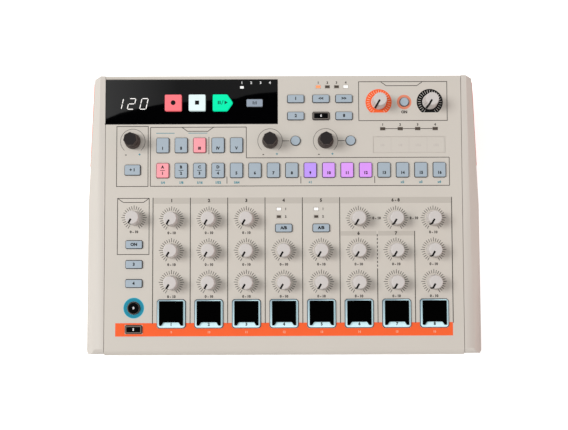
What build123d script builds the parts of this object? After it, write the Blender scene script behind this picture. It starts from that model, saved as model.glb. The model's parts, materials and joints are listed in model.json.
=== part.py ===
from build123d import *
import os
from math import atan2, cos, degrees, pi, radians, sin, tan

# Compact analogue drum machine: a wedge-shaped desktop case with a sloped control panel.
# X runs along the case, Y from the player's edge to the sockets, Z up from the table.
# Places on the panel are (u, v): u along X, v up the slope from the middle of the case.
# Heights n are measured square to the panel, 0 at its top surface. Millimetres throughout.

os.makedirs("parts", exist_ok=True)

# ---------------------------------------------------------------- case
WIDTH = 316.0  # over the two cheeks
DEPTH = 224.0  # front nose to rear wall
SLOPE_DEG = 4.8
FRONT_H = 27.0  # height of the panel's plane above the table at the front
FOOT_H = 3.0
FOOT_D = 12.0
FOOT_SINK = 1.0  # feet sit in shallow wells in the floor
FOOT_FIT = 0.1
FOOT_EDGE = 0.6
FOOT_INSET_X = 26.0
FOOT_INSET_Y = 24.0
FLOOR_T = 2.5
FLOOR_INSET = 1.2  # the floor stays back from the cheeks' outline
CASE_WALL = 2.4
CASE_SHOULDER = 1.8  # the case's front wall stops this far below the nose's centre
NOSE_R = 4.5  # rounding along the front edge
UNDERCUT_DEG = 14.0  # the front face leans back towards the floor
PANEL_T = 2.2
CHEEK_W = 14.4  # a cheek's outer side to the panel's end
PANEL_HALF_W = WIDTH / 2 - CHEEK_W
SEAM = 0.4  # shadow gap between panel and cheek
SEAT_GAP = 0.15  # panel underside to the top of the case walls
REAR_ROUND = 1.2
FLANGE_GAP = 0.2  # panel's front flange to the case's front wall

# ---------------------------------------------------------------- cheeks and side trims
CHEEK_WALL = 2.4
CHEEK_SETBACK = 0.9  # the cheeks' nose ends behind the panel's
LEDGE_FRONT = 7.4  # flat top of a cheek, from the seam to the crease
LEDGE_REAR = 4.2
FACET_DEG = 35.5  # slope of the slanted facet outside the crease
TAPER_START = 8.0  # Y where the sides begin to draw in
TAPER = 4.8  # how far each side has drawn in at the rear
FRONT_CORNER = 2.4
REAR_CORNER_X = 5.6
REAR_CORNER_Y = 2.0
TRIM_PROUD = 0.8
TRIM_T = 2.0
TRIM_FRONT_Y = 26.0
TRIM_REAR_GAP = 3.0
TRIM_RAKE = 14.0  # the trim's front end is cut on a slant
TRIM_LOW = 3.0  # above the cheek's bottom edge
TRIM_TOP_REAR = 41.2  # just under the facet's lower edge
TRIM_TOP_FRONT = 33.7
TRIM_FIT = 0.1

# ---------------------------------------------------------------- stack under the panel
BOARD_T = 1.6
BOARD_DROP = 9.5  # panel surface to the control board
BOARD_SIDE_GAP = 6.6  # panel's end to the board's
BOARD_FRONT_GAP = 15.0  # nose to the board, along Y
BOARD_REAR_GAP = 6.5
POST_D = 6.0
SMALL_ROUND_SIDE_COUNT = 12  # shafts, posts, bosses and screws are drawn with this many sides
LARGE_ROUND_SIDE_COUNT = 24  # round keys, feet, socket collars and the encoders' waists

# ---------------------------------------------------------------- places on the panel
# The controls are set out on a grid that follows the case's size: a step across (U) is a
# thirtieth of a column's width, a step up the slope (V) the same share of the depth as
# one millimetre is of the real machine's.
COLUMN_COUNT = 9
COLUMN_MARGIN = 8.6  # bare strip at each end of the columns
COLUMN_PITCH = 2 * (PANEL_HALF_W - COLUMN_MARGIN) / COLUMN_COUNT
COLUMN_STEP_COUNT = 30
DEPTH_STEP_COUNT = 224
U = COLUMN_PITCH / COLUMN_STEP_COUNT
V = DEPTH / DEPTH_STEP_COUNT
LEFT_U = -4 * COLUMN_PITCH
COLUMN_U = [LEFT_U + COLUMN_PITCH * (i + 1) for i in range(COLUMN_COUNT - 1)]
SHORT_COLUMNS = (3, 4)  # two columns have a type button in place of the upper knob
KNOB_FIRST_V = -3.9 * V
KNOB_ROW_PITCH = 25.5 * V
KNOB_ROW_V = [KNOB_FIRST_V - KNOB_ROW_PITCH * i for i in range(3)]
STEP_PITCH = 14.85 * U
STEP_FIRST_U = -97.3 * U
STEP_V = 35.2 * V
MODE_V = 55.6 * V
ENCODER_V = 59.1 * V
ENCODER_U = {"tempo_encoder": -121.6 * U, "swing_encoder": -10.8 * U, "random_encoder": 34.0 * U}
DIAL_V = 90.4 * V
DIAL_U = {"drive_knob": 77.1 * U, "volume_knob": 118.5 * U}
DIAL_BUTTON_U = 97.8 * U
PAD_V = -79.7 * V
TYPE_V = -11.4 * V
METRONOME_PLACE = (-120.2 * U, -3.0 * V)
RECORD_U, STOP_U, PLAY_U = -89.0 * U, -69.7 * U, -48.9 * U
TRANSPORT_V = 90.2 * V
SYNC_PLACE = (-23.2 * U, 89.8 * V)
BANK_U = (10.0 * U, 30.4 * U, 49.0 * U)
BANK_V = (93.2 * V, 79.2 * V)
LEFT_BUTTON_V = (-24.3 * V, -40.2 * V, -55.4 * V, -92.0 * V)
SHIFT_V = -75.0 * V
TAP_V = 35.7 * V
ROUND_U = (9.7 * U, 54.2 * U)
LED_SIZE = (4.0, 2.8)
LED_FIT = 0.1
LED_PROUD = 0.15
WINDOW_LED_FIRST = (-33.5 * U, 102.8 * V)
WINDOW_LED_PITCH = 7.55 * U
BANK_LED_FIRST = (28.3 * U, 103.1 * V)
BANK_LED_PITCH = 7.43 * U
BEAT_LED_FIRST = (80.2 * U, 68.7 * V)
BEAT_LED_PITCH = 14.15 * U
TYPE_LED_SIDE = 3.9  # left of its column
TYPE_LED_V = (3.9 * V, -2.2 * V)
POST_EDGE_U = 134.0 * U
POST_MID_U = 45.0 * U
POST_V = (-63.5 * V, 15.0 * V)
POST_REAR_V = 66.0 * V

# ---------------------------------------------------------------- knobs
KNOB_GAP = 0.5
SHAFT_D = 6.0
SHAFT_HOLE_D = 7.0
KNOB_BASE_D = 12.0
KNOB_TOP_D = 10.8
KNOB_H = 12.5
KNOB_FLAT_COUNT = 12
KNOB_EDGE = 0.5
POINTER_DEG = 240.0  # where every pointer stands at rest, from +X
POINTER_W = 1.0
POINTER_DEEP = 0.3
POINTER_START = 1.9
DIAL_BASE_D = 12.3
DIAL_TOP_D = 10.7
DIAL_H = 15.56
DIAL_FLUTE_COUNT = 18
FLUTE_R = 1.2
FLUTE_BITE = 0.3
FLUTE_SIDE_COUNT = 8
DIAL_SKIRT = 2.2
ENCODER_BASE_D = 12.8
ENCODER_WAIST_D = 11.6
ENCODER_WAIST_H = 8.0
ENCODER_TOP_D = 11.0
ENCODER_H = 15.2
ENCODER_FLAT_COUNT = 7
POT_W = 9.8
POT_L = 11.2
POT_H = 5.2
SHAFT_END_GAP = 0.3

# ---------------------------------------------------------------- buttons and pads
STEP_SIZE = (10.7, 12.6)
MODE_SIZE = (10.7, 12.8)
TRANSPORT_SIZE = (14.4, 14.2)
PLAY_SIZE = (17.2, 14.2)
PLAY_POINT = 4.6  # the play key ends in a point on its right
SMALL_SIZE = (14.0, 7.1)
TAP_SIZE = (13.2, 9.0)
ROUND_D = 8.4
DIAL_BUTTON_D = 7.8
SHIFT_D = 10.6
STEP_COUNT = 16
MODE_COUNT = 5
BUTTON_GAP = 0.35
BUTTON_PROUD = 1.7
BUTTON_TRAVEL = 0.8
BUTTON_CORNER = 0.9
BUTTON_EDGE = 0.35
BUTTON_FLANGE = 0.8  # past the hole's edge, under the panel
BUTTON_FLANGE_T = 0.9
RETAIN_GAP = 0.3  # flange to the panel's underside
STEM_W = 3.0
STEM_CLEAR = 0.3  # stem to switch when fully pressed
SWITCH_W = 6.0
SWITCH_H = 3.5
PAD_HOLE = 23.2
PAD_PROUD = 1.3
PAD_TOP_PROUD = 2.8
PAD_TOP_W = 19.0
PAD_TOP_L = 19.6
PAD_TRAVEL = 1.0
PAD_CORNER = 1.5
PAD_GAP = 0.3
PAD_FLANGE = 0.7
PAD_FOOT_W = 12.0
PAD_NOTCH_FRONT = 15.4  # the rubber top's notch, which bares the frame for a figure
PAD_NOTCH_REAR = 12.2
PAD_NOTCH_L = 3.1
PAD_SENSOR_W = 18.0
PAD_SENSOR_H = 3.5

# ---------------------------------------------------------------- display window and touch strip
WINDOW_LEFT_U = -PANEL_HALF_W
WINDOW_RIGHT_U = -4.8 * U
WINDOW_FRONT_V = 73.3 * V
WINDOW_REAR_V = 109.4 * V
WINDOW_T = 1.4
WINDOW_PROUD = 0.1
WINDOW_FIT = 0.1
UNDER_WINDOW_GAP = 0.2
DIGITS_FIT = 0.2
DIGITS_U = -120.2 * U
DIGITS_V = 89.6 * V
DIGITS_W = 27.0
DIGITS_L = 13.0
STRIP_U = 101.5 * U
STRIP_V = 55.7 * V
STRIP_W = 58.2 * U
STRIP_L = 13.3
STRIP_RECESS = 0.8
STRIP_T = 0.5
STRIP_FIT = 0.15

# ---------------------------------------------------------------- rear sockets
SOCKET_Z = 21.5
JACK_BOARD_TOP = 12.0
JACK_BOARD_L = 34.0
JACK_BOARD_SIDE_GAP = 7.6
JACK_POST_X = (-125.0 * U, -42.0 * U, 42.0 * U, 125.0 * U)
JACK_BACK = 1.5  # wall behind a jack's blind bore
SOCKET_GAP = 0.1
LARGE_JACK_X = (98.0 * U, 122.0 * U)
LARGE_JACK_R = 3.25
LARGE_JACK_COLLAR_R = 6.0
LARGE_JACK_DEEP = 26.0
LARGE_JACK_W = 15.0
SMALL_JACK_X = (-14.0 * U, 2.0 * U, 26.0 * U, 42.0 * U, 58.0 * U, 74.0 * U)
SMALL_JACK_R = 1.8
SMALL_JACK_COLLAR_R = 4.0
SMALL_JACK_DEEP = 12.0
SMALL_JACK_W = 9.0
MIDI_X = (-66.0 * U, -40.0 * U)
MIDI_COLLAR_R = 8.6
MIDI_SLOT_R = 7.6
MIDI_SLOT_W = 1.3
MIDI_SLOT_DEEP = 7.0
MIDI_BODY_W = 20.0
MIDI_DEEP = 14.0
USB_X = -92.0 * U
USB_W = 12.0
USB_L = 11.0
USB_WALL = 1.4
USB_CUT = 2.6
USB_DEEP = 16.0
USB_MOUTH_DEEP = 9.0
USB_TONGUE_W = 5.6
USB_TONGUE_H = 3.2
DC_X = -130.0 * U
DC_W = 9.4
DC_BORE_R = 3.1
DC_PIN_R = 1.0
DC_DEEP = 13.0
DC_BORE_DEEP = 9.0
COLLAR_SHY = 0.4  # sockets end this far inside the rear wall's outer face
SOCKET_BACK = 0.3  # socket bodies stand this far off the rear wall's inner face
POWER_X = -112.0 * U
POWER_W = 8.0
POWER_L = 6.0
POWER_SHY = 0.3  # the button's end, inside the rear wall's outer face
POWER_TRAVEL = 2.0
POWER_FLANGE = 1.2
POWER_STEM_W = 3.6
POWER_STEM_LEN = 3.0
POWER_SWITCH_W = 7.0
POWER_SWITCH_DEEP = 12.0

# ---------------------------------------------------------------- screws
SCREW_INSET = 9.5  # from the cheeks' outer sides
SCREW_X = WIDTH / 2 - SCREW_INSET
SCREW_Y = (-92.0 * V, 0.0, 92.0 * V)
SCREW_HEAD_R = 2.8
SCREW_HEAD_T = 1.4
SCREW_SHANK_R = 1.4
SCREW_LEN = 9.0
SCREW_FIT = 0.1
BOSS_R = 3.4
BOSS_H = 9.0

PAST = 1.0  # how far a cutting shape runs past what it cuts

SLOPE = radians(SLOPE_DEG)
UNDERCUT = radians(UNDERCUT_DEG)
FACET = radians(FACET_DEG)
HALF_W = WIDTH / 2
HALF_D = DEPTH / 2
FLOOR_Z = FOOT_H
INNER_Z = FLOOR_Z + FLOOR_T
BOARD_FRONT_V = BOARD_FRONT_GAP - HALF_D
BOARD_REAR_V = HALF_D - BOARD_REAR_GAP
CHEEK_IN = PANEL_HALF_W + SEAM
SHAFT_END_N = -BOARD_DROP + POT_H + SHAFT_END_GAP
SWITCH_TOP_N = -BOARD_DROP + SWITCH_H
STEM_END_N = SWITCH_TOP_N + BUTTON_TRAVEL + STEM_CLEAR
PAD_FOOT_N = -BOARD_DROP + PAD_SENSOR_H + PAD_TRAVEL + STEM_CLEAR
FLANGE_N = -PANEL_T - RETAIN_GAP  # top of the flanges that keep keys and pads in
FLOOR_FRONT_Y = -HALF_D + NOSE_R + FLOOR_INSET
INSIDE_REAR_Y = HALF_D - CASE_WALL
JACK_BOARD_MID_Y = INSIDE_REAR_Y - SOCKET_BACK - JACK_BOARD_L / 2
COLLAR_LEN = CASE_WALL + SOCKET_BACK - COLLAR_SHY
SOCKET_DROP = SOCKET_Z - JACK_BOARD_TOP
WINDOW_MID = (
    (WINDOW_LEFT_U + WINDOW_RIGHT_U) / 2,
    (WINDOW_FRONT_V + WINDOW_REAR_V) / 2,
)
SCREWS = [(side * SCREW_X, y) for side in (-1, 1) for y in SCREW_Y]
FEET = [
    (side * (HALF_W - FOOT_INSET_X), end * (HALF_D - FOOT_INSET_Y))
    for side in (-1, 1)
    for end in (-1, 1)
]


def panel_z(y):
    """Height of the panel's plane above the table at a given Y."""
    return FRONT_H + (y + HALF_D) * tan(SLOPE)


PANEL = Plane(
    origin=(0, 0, panel_z(0)), x_dir=(1, 0, 0), z_dir=(0, -sin(SLOPE), cos(SLOPE))
)

BOARD_TOP = PANEL.offset(-BOARD_DROP)
REAR = Plane(origin=(0, HALF_D, SOCKET_Z), x_dir=(-1, 0, 0), z_dir=(0, 1, 0))
SOCKET_FACE = REAR.offset(-CASE_WALL - SOCKET_BACK)
COLLAR_FACE = REAR.offset(-COLLAR_SHY)


def seat(place, n=0.0):
    """A plane lying on the panel with its origin at a place (u, v), raised by n."""
    return Plane(
        origin=PANEL.from_local_coords((*place, n)), x_dir=PANEL.x_dir, z_dir=PANEL.z_dir
    )


def finish(part, label):
    part.label = label
    export_step(part, f"parts/{label}.step")


# ---------------------------------------------------------------- every control's place
# A button is (u, v, width, length) of its hole; a width of zero marks a round one, with
# its diameter as the length.
STEP_U = [STEP_FIRST_U + STEP_PITCH * i for i in range(STEP_COUNT)]
STEP_BUTTONS = [(u, STEP_V, *STEP_SIZE) for u in STEP_U]
MODE_BUTTONS = [(u, MODE_V, *MODE_SIZE) for u in STEP_U[:MODE_COUNT]]
RECORD = (RECORD_U, TRANSPORT_V, *TRANSPORT_SIZE)
STOP = (STOP_U, TRANSPORT_V, *TRANSPORT_SIZE)
PLAY = (PLAY_U, TRANSPORT_V, *PLAY_SIZE)
SYNC = (*SYNC_PLACE, *SMALL_SIZE)
WINDOW_BUTTONS = [RECORD, STOP, PLAY, SYNC]

FUNCTION_BUTTONS = [(u, v, *SMALL_SIZE) for u in BANK_U for v in BANK_V]
FUNCTION_BUTTONS += [(LEFT_U, v, *SMALL_SIZE) for v in LEFT_BUTTON_V]
FUNCTION_BUTTONS += [(COLUMN_U[i], TYPE_V, *SMALL_SIZE) for i in SHORT_COLUMNS]
FUNCTION_BUTTONS += [(u, ENCODER_V, 0, ROUND_D) for u in ROUND_U]
FUNCTION_BUTTONS += [
    SYNC,
    (ENCODER_U["tempo_encoder"], TAP_V, *TAP_SIZE),
    (LEFT_U, SHIFT_V, 0, SHIFT_D),
    (DIAL_BUTTON_U, DIAL_V, 0, DIAL_BUTTON_D),
]
BUTTONS = [*STEP_BUTTONS, *MODE_BUTTONS, RECORD, STOP, PLAY, *FUNCTION_BUTTONS]

SMALL_KNOBS = {"metronome_knob": METRONOME_PLACE}
for column, column_u in enumerate(COLUMN_U):
    for row, row_name in enumerate(("upper", "middle", "lower")):
        if row or column not in SHORT_COLUMNS:
            SMALL_KNOBS[f"voice_{column + 1}_{row_name}_knob"] = (column_u, KNOB_ROW_V[row])
ENCODERS = {name: (u, ENCODER_V) for name, u in ENCODER_U.items()}
DIALS = {name: (u, DIAL_V) for name, u in DIAL_U.items()}
SHAFT_PLACES = [*SMALL_KNOBS.values(), *ENCODERS.values(), *DIALS.values()]
PADS = {f"pad_{i + 1}": (u, PAD_V) for i, u in enumerate(COLUMN_U)}


def led_row(first, pitch):
    """Four lamps in a row."""
    return [(first[0] + pitch * i, first[1]) for i in range(4)]


WINDOW_LEDS = led_row(WINDOW_LED_FIRST, WINDOW_LED_PITCH)
TYPE_LEDS = [(COLUMN_U[i] - TYPE_LED_SIDE, v) for i in SHORT_COLUMNS for v in TYPE_LED_V]
PANEL_LEDS = [
    *led_row(BANK_LED_FIRST, BANK_LED_PITCH),
    *led_row(BEAT_LED_FIRST, BEAT_LED_PITCH),
    *TYPE_LEDS,
]
POSTS = [(u, v) for u in (-POST_EDGE_U, -POST_MID_U, POST_MID_U, POST_EDGE_U) for v in POST_V]
POSTS += [(u, POST_REAR_V) for u in (-POST_EDGE_U, POST_EDGE_U)]


def small_round(radius):
    """A small round profile, drawn with a few sides."""
    RegularPolygon(radius, SMALL_ROUND_SIDE_COUNT)


def large_round(radius, mode=Mode.ADD):
    """A larger round profile, drawn with more sides."""
    RegularPolygon(radius, LARGE_ROUND_SIDE_COUNT, mode=mode)


def button_outlines(buttons, shrink):
    """Outlines of keys, or of their holes when shrink is zero, in a sketch on the panel."""
    for button in buttons:
        u, v, width, length = button
        half, reach = length / 2 - shrink, width / 2 - shrink
        with Locations((u, v)):
            if button == PLAY:
                Polygon(
                    (-reach, -half),
                    (reach - PLAY_POINT, -half),
                    (reach, 0),
                    (reach - PLAY_POINT, half),
                    (-reach, half),
                    align=None,
                )
            elif width:
                cap = Rectangle(2 * reach, 2 * half)
                chamfer(cap.vertices(), BUTTON_CORNER)
            else:
                large_round(half)


def pad_outline(width, length):
    """A pad's square outline with its cut corners."""
    square = Rectangle(width, length)
    chamfer(square.vertices(), PAD_CORNER)


# ---------------------------------------------------------------- case outline
def front_edge(reach, inset):
    """The rounded front edge in side view, from the panel down to the leaning face."""
    centre = (reach + NOSE_R, panel_z(reach + NOSE_R) - NOSE_R / cos(SLOPE))
    return CenterArc(
        centre, NOSE_R - inset, 90 + SLOPE_DEG, 90 + UNDERCUT_DEG - SLOPE_DEG
    )


def wedge(reach, inset, low_z, rear_y, x_from, x_to):
    """The machine's side outline, drawn in by inset at top and front, as a solid."""
    with BuildPart() as body:
        with BuildSketch(Plane.YZ.offset(x_from)):
            with BuildLine():
                nose = front_edge(reach, inset)
                rear_top = (rear_y, panel_z(rear_y) - inset / cos(SLOPE))
                low_front = (
                    (nose @ 1).X + ((nose @ 1).Y - low_z) * tan(UNDERCUT), low_z
                )
                Polyline(nose @ 0, rear_top, (rear_y, low_z), low_front, nose @ 1)
            make_face()
        extrude(amount=x_to - x_from)
    return body.part


def cheek_plan(inset, inner_x):
    """A right cheek seen from above, drawn in by inset."""
    outer = HALF_W - inset
    rear = HALF_W - TAPER - inset
    return Polygon(
        (inner_x, -HALF_D - PAST),
        (outer - FRONT_CORNER, -HALF_D - PAST),
        (outer, -HALF_D + CHEEK_SETBACK + FRONT_CORNER),
        (outer, TAPER_START),
        (rear, HALF_D - REAR_CORNER_Y - inset),
        (rear - REAR_CORNER_X, HALF_D - inset),
        (inner_x, HALF_D - inset),
        align=None,
    )


def facet_plane(inset):
    """The slanted facet of a right cheek, hinged on the crease, shifted in by inset."""
    front = Vector(CHEEK_IN + LEDGE_FRONT, -HALF_D, panel_z(-HALF_D))
    rear = Vector(CHEEK_IN + LEDGE_REAR, HALF_D, panel_z(HALF_D))
    crease = (rear - front).normalized()
    fall = Vector(cos(FACET), 0, -sin(FACET))
    normal = fall.cross(crease).normalized()
    return Plane(origin=front - normal * inset, x_dir=crease, z_dir=normal)


def cheek_block(inset, inner_x, low_z):
    """A right cheek's outer form, drawn in by inset on every outer side."""
    with BuildPart() as block:
        add(
            wedge(
                -HALF_D + CHEEK_SETBACK, inset, low_z, HALF_D - inset, inner_x, HALF_W
            )
        )
        with BuildSketch(Plane.XY):
            cheek_plan(inset, inner_x)
        extrude(amount=panel_z(HALF_D) + PAST, mode=Mode.INTERSECT)
        split(bisect_by=facet_plane(inset), keep=Keep.BOTTOM)
    return block.part


def trim_prism(side_gap, outer, inner):
    """The side trim's outline seen from the side, as a slab square to the tapered wall."""
    front = Vector(HALF_W, TAPER_START, 0)
    rear = Vector(HALF_W - TAPER, HALF_D - REAR_CORNER_Y, 0)
    along = (rear - front).normalized()
    wall = Plane(origin=front, x_dir=along, z_dir=Vector(0, 0, 1).cross(along) * -1)
    start = TRIM_FRONT_Y - TAPER_START - side_gap
    end = HALF_D - REAR_CORNER_Y - TRIM_REAR_GAP - TAPER_START + side_gap
    low = INNER_Z + TRIM_LOW - side_gap
    with BuildPart() as slab:
        with BuildSketch(wall.offset(-inner)):
            Polygon(
                (start, low),
                (end, low),
                (end, TRIM_TOP_REAR + side_gap),
                (start + TRIM_RAKE, TRIM_TOP_FRONT + side_gap),
                align=None,
            )
        extrude(amount=inner + outer)
    return slab.part


# ---------------------------------------------------------------- top panel
with BuildPart() as top_panel:
    add(
        wedge(-HALF_D, 0, INNER_Z, HALF_D, -PANEL_HALF_W, PANEL_HALF_W)
    )
    add(
        wedge(
            -HALF_D, PANEL_T, INNER_Z - PAST, HALF_D + PAST, -PANEL_HALF_W, PANEL_HALF_W
        ),
        mode=Mode.SUBTRACT,
    )
    rear_edge = top_panel.edges().filter_by(Axis.X).sort_by(Axis.Z)[-1]
    fillet(rear_edge, REAR_ROUND)
    with BuildSketch(PANEL):
        with Locations(WINDOW_MID):
            Rectangle(WINDOW_RIGHT_U - WINDOW_LEFT_U, WINDOW_REAR_V - WINDOW_FRONT_V)
    extrude(amount=WINDOW_PROUD - WINDOW_T, mode=Mode.SUBTRACT)
    with BuildSketch(PANEL):
        with Locations((STRIP_U, STRIP_V)):
            Rectangle(STRIP_W, STRIP_L)
    extrude(amount=-STRIP_RECESS, mode=Mode.SUBTRACT)
    with BuildSketch(PANEL):
        button_outlines(BUTTONS, 0)
        with Locations(*SHAFT_PLACES):
            small_round(SHAFT_HOLE_D / 2)
        with Locations(*PADS.values()):
            pad_outline(PAD_HOLE, PAD_HOLE)
        with Locations(*PANEL_LEDS, *WINDOW_LEDS):
            Rectangle(LED_SIZE[0] + 2 * LED_FIT, LED_SIZE[1] + 2 * LED_FIT)
        with Locations((DIGITS_U, DIGITS_V)):
            Rectangle(DIGITS_W + 2 * DIGITS_FIT, DIGITS_L + 2 * DIGITS_FIT)
    extrude(amount=-PANEL_T - PAST, mode=Mode.SUBTRACT)
    with BuildSketch(BOARD_TOP):
        with Locations(*POSTS):
            small_round(POST_D / 2)
    extrude(amount=BOARD_DROP - PANEL_T)
finish(top_panel.part, "top_panel")


# ---------------------------------------------------------------- bottom case
def tub(front_inset, top_inset, low_z, rear_y, half_w):
    """A solid that fills the panel's inside, drawn in by the insets, low under the nose."""
    centre_y = -HALF_D + NOSE_R
    centre_z = panel_z(centre_y) - NOSE_R / cos(SLOPE)
    face_y = centre_y - (NOSE_R - front_inset) / cos(UNDERCUT)
    shoulder_y = centre_y + CASE_SHOULDER
    shoulder_z = centre_z - CASE_SHOULDER
    drop = top_inset / cos(SLOPE)
    with BuildPart() as body:
        with BuildSketch(Plane.YZ.offset(-half_w)):
            Polygon(
                (face_y + CASE_SHOULDER * tan(UNDERCUT), shoulder_z),
                (shoulder_y, shoulder_z),
                (shoulder_y, panel_z(shoulder_y) - drop),
                (rear_y, panel_z(rear_y) - drop),
                (rear_y, low_z),
                (face_y + (centre_z - low_z) * tan(UNDERCUT), low_z),
                align=None,
            )
        extrude(amount=2 * half_w)
    return body.part


def floor_half():
    """The right half of the floor's outline."""
    outer = HALF_W - FLOOR_INSET
    rear_y = HALF_D - FLOOR_INSET
    Polygon(
        (0, FLOOR_FRONT_Y),
        (outer - FRONT_CORNER, FLOOR_FRONT_Y),
        (outer, FLOOR_FRONT_Y + FRONT_CORNER),
        (outer, TAPER_START),
        (outer - TAPER, rear_y - REAR_CORNER_Y),
        (outer - TAPER - REAR_CORNER_X, rear_y),
        (0, rear_y),
        align=None,
    )


def board_bosses():
    """Bosses from the floor up to the underside of the sloped control board."""
    with BuildPart() as bosses:
        with BuildSketch(Plane.XY.offset(INNER_Z)):
            with Locations(*[(u, v * cos(SLOPE)) for u, v in POSTS]):
                small_round(POST_D / 2)
        extrude(amount=panel_z(HALF_D))
        split(bisect_by=BOARD_TOP.offset(-BOARD_T), keep=Keep.BOTTOM)
    return bosses.part


def usb_outline(width, length):
    """A square data socket's outline, with its two upper corners cut."""
    mouth = Rectangle(width, length)
    chamfer(mouth.vertices().group_by(Axis.Y)[-1], USB_CUT)


def rear_spots(*places):
    """Places along the rear wall, given as X, on the rear planes."""
    return [(-x, 0) for x in places]


with BuildPart() as bottom_case:
    with BuildSketch(Plane.XY.offset(FLOOR_Z)):
        floor_half()
        mirror(about=Plane.YZ)
    extrude(amount=FLOOR_T)
    add(tub(PANEL_T + FLANGE_GAP, PANEL_T + SEAT_GAP, FLOOR_Z, HALF_D, PANEL_HALF_W))
    add(
        tub(
            PANEL_T + FLANGE_GAP + CASE_WALL,
            -NOSE_R,
            INNER_Z,
            INSIDE_REAR_Y,
            PANEL_HALF_W - CASE_WALL,
        ),
        mode=Mode.SUBTRACT,
    )
    add(board_bosses())
    with BuildSketch(Plane.XY.offset(INNER_Z)):
        with Locations(*[(x, JACK_BOARD_MID_Y) for x in JACK_POST_X]):
            small_round(POST_D / 2)
    extrude(amount=JACK_BOARD_TOP - BOARD_T - INNER_Z)
    with BuildSketch(REAR):
        with Locations(*rear_spots(*LARGE_JACK_X)):
            large_round(LARGE_JACK_COLLAR_R + SOCKET_GAP)
        with Locations(*rear_spots(*SMALL_JACK_X)):
            large_round(SMALL_JACK_COLLAR_R + SOCKET_GAP)
        with Locations(*rear_spots(*MIDI_X)):
            large_round(MIDI_COLLAR_R + SOCKET_GAP)
        with Locations(*rear_spots(USB_X)):
            usb_outline(USB_W + 2 * SOCKET_GAP, USB_L + 2 * SOCKET_GAP)
        with Locations(*rear_spots(DC_X)):
            Rectangle(DC_W + 2 * SOCKET_GAP, DC_W + 2 * SOCKET_GAP)
        with Locations(*rear_spots(POWER_X)):
            Rectangle(POWER_W + 2 * BUTTON_GAP, POWER_L + 2 * BUTTON_GAP)
    extrude(amount=-CASE_WALL, mode=Mode.SUBTRACT)
    with BuildSketch(Plane.XY.offset(FLOOR_Z)):
        with Locations(*FEET):
            large_round(FOOT_D / 2 + FOOT_FIT)
    extrude(amount=FOOT_SINK, mode=Mode.SUBTRACT)
    with BuildSketch(Plane.XY.offset(FLOOR_Z)):
        with Locations(*SCREWS):
            small_round(SCREW_HEAD_R + SCREW_FIT)
    extrude(amount=SCREW_HEAD_T, mode=Mode.SUBTRACT)
    with BuildSketch(Plane.XY.offset(FLOOR_Z)):
        with Locations(*SCREWS):
            small_round(SCREW_SHANK_R + SCREW_FIT)
    extrude(amount=FLOOR_T, mode=Mode.SUBTRACT)
finish(bottom_case.part, "bottom_case")

with BuildPart() as feet:
    with BuildSketch(Plane.XY):
        with Locations(*FEET):
            large_round(FOOT_D / 2 - FOOT_EDGE)
    extrude(amount=FOOT_EDGE, taper=-45)
    with BuildSketch(Plane.XY.offset(FOOT_EDGE)):
        with Locations(*FEET):
            large_round(FOOT_D / 2)
    extrude(amount=FOOT_H + FOOT_SINK - FOOT_EDGE)
finish(feet.part, "feet")

with BuildPart() as case_screws:
    with BuildSketch(Plane.XY.offset(FLOOR_Z + SCREW_FIT)):
        with Locations(*SCREWS):
            small_round(SCREW_HEAD_R)
    extrude(amount=SCREW_HEAD_T - SCREW_FIT)
    with BuildSketch(Plane.XY.offset(FLOOR_Z + SCREW_HEAD_T)):
        with Locations(*SCREWS):
            small_round(SCREW_SHANK_R)
    extrude(amount=SCREW_LEN)
finish(case_screws.part, "case_screws")

# ---------------------------------------------------------------- cheeks and side trims
with BuildPart() as cheek_right:
    add(cheek_block(0, CHEEK_IN, INNER_Z))
    add(
        cheek_block(CHEEK_WALL, CHEEK_IN - CHEEK_WALL, INNER_Z + CHEEK_WALL),
        mode=Mode.SUBTRACT,
    )
    with BuildSketch(Plane.XY.offset(INNER_Z)):
        with Locations(*[(SCREW_X, y) for y in SCREW_Y]):
            small_round(BOSS_R)
    extrude(amount=BOSS_H)
    with BuildSketch(Plane.XY.offset(INNER_Z)):
        with Locations(*[(SCREW_X, y) for y in SCREW_Y]):
            small_round(SCREW_SHANK_R + SCREW_FIT)
    extrude(amount=BOSS_H, mode=Mode.SUBTRACT)
    add(trim_prism(TRIM_FIT, TRIM_T, TRIM_T - TRIM_PROUD), mode=Mode.SUBTRACT)
finish(cheek_right.part, "cheek_right")

with BuildPart() as cheek_left:
    mirror(cheek_right.part, about=Plane.YZ)
finish(cheek_left.part, "cheek_left")

with BuildPart() as side_trims:
    add(trim_prism(0, TRIM_PROUD, TRIM_T - TRIM_PROUD))
    mirror(about=Plane.YZ)
finish(side_trims.part, "side_trims")

# ---------------------------------------------------------------- display window, touch strip
with BuildPart() as display_window:
    with BuildSketch(PANEL.offset(WINDOW_PROUD)):
        with Locations(WINDOW_MID):
            Rectangle(
                WINDOW_RIGHT_U - WINDOW_LEFT_U - 2 * WINDOW_FIT,
                WINDOW_REAR_V - WINDOW_FRONT_V - 2 * WINDOW_FIT,
            )
    extrude(amount=-WINDOW_T)
    with BuildSketch(PANEL.offset(WINDOW_PROUD)):
        button_outlines(WINDOW_BUTTONS, 0)
    extrude(amount=-WINDOW_T, mode=Mode.SUBTRACT)
finish(display_window.part, "display_window")

with BuildPart() as touch_strip:
    with BuildSketch(PANEL.offset(-STRIP_RECESS)):
        with Locations((STRIP_U, STRIP_V)):
            Rectangle(STRIP_W - 2 * STRIP_FIT, STRIP_L - 2 * STRIP_FIT)
    extrude(amount=STRIP_T)
finish(touch_strip.part, "touch_strip")

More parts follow.
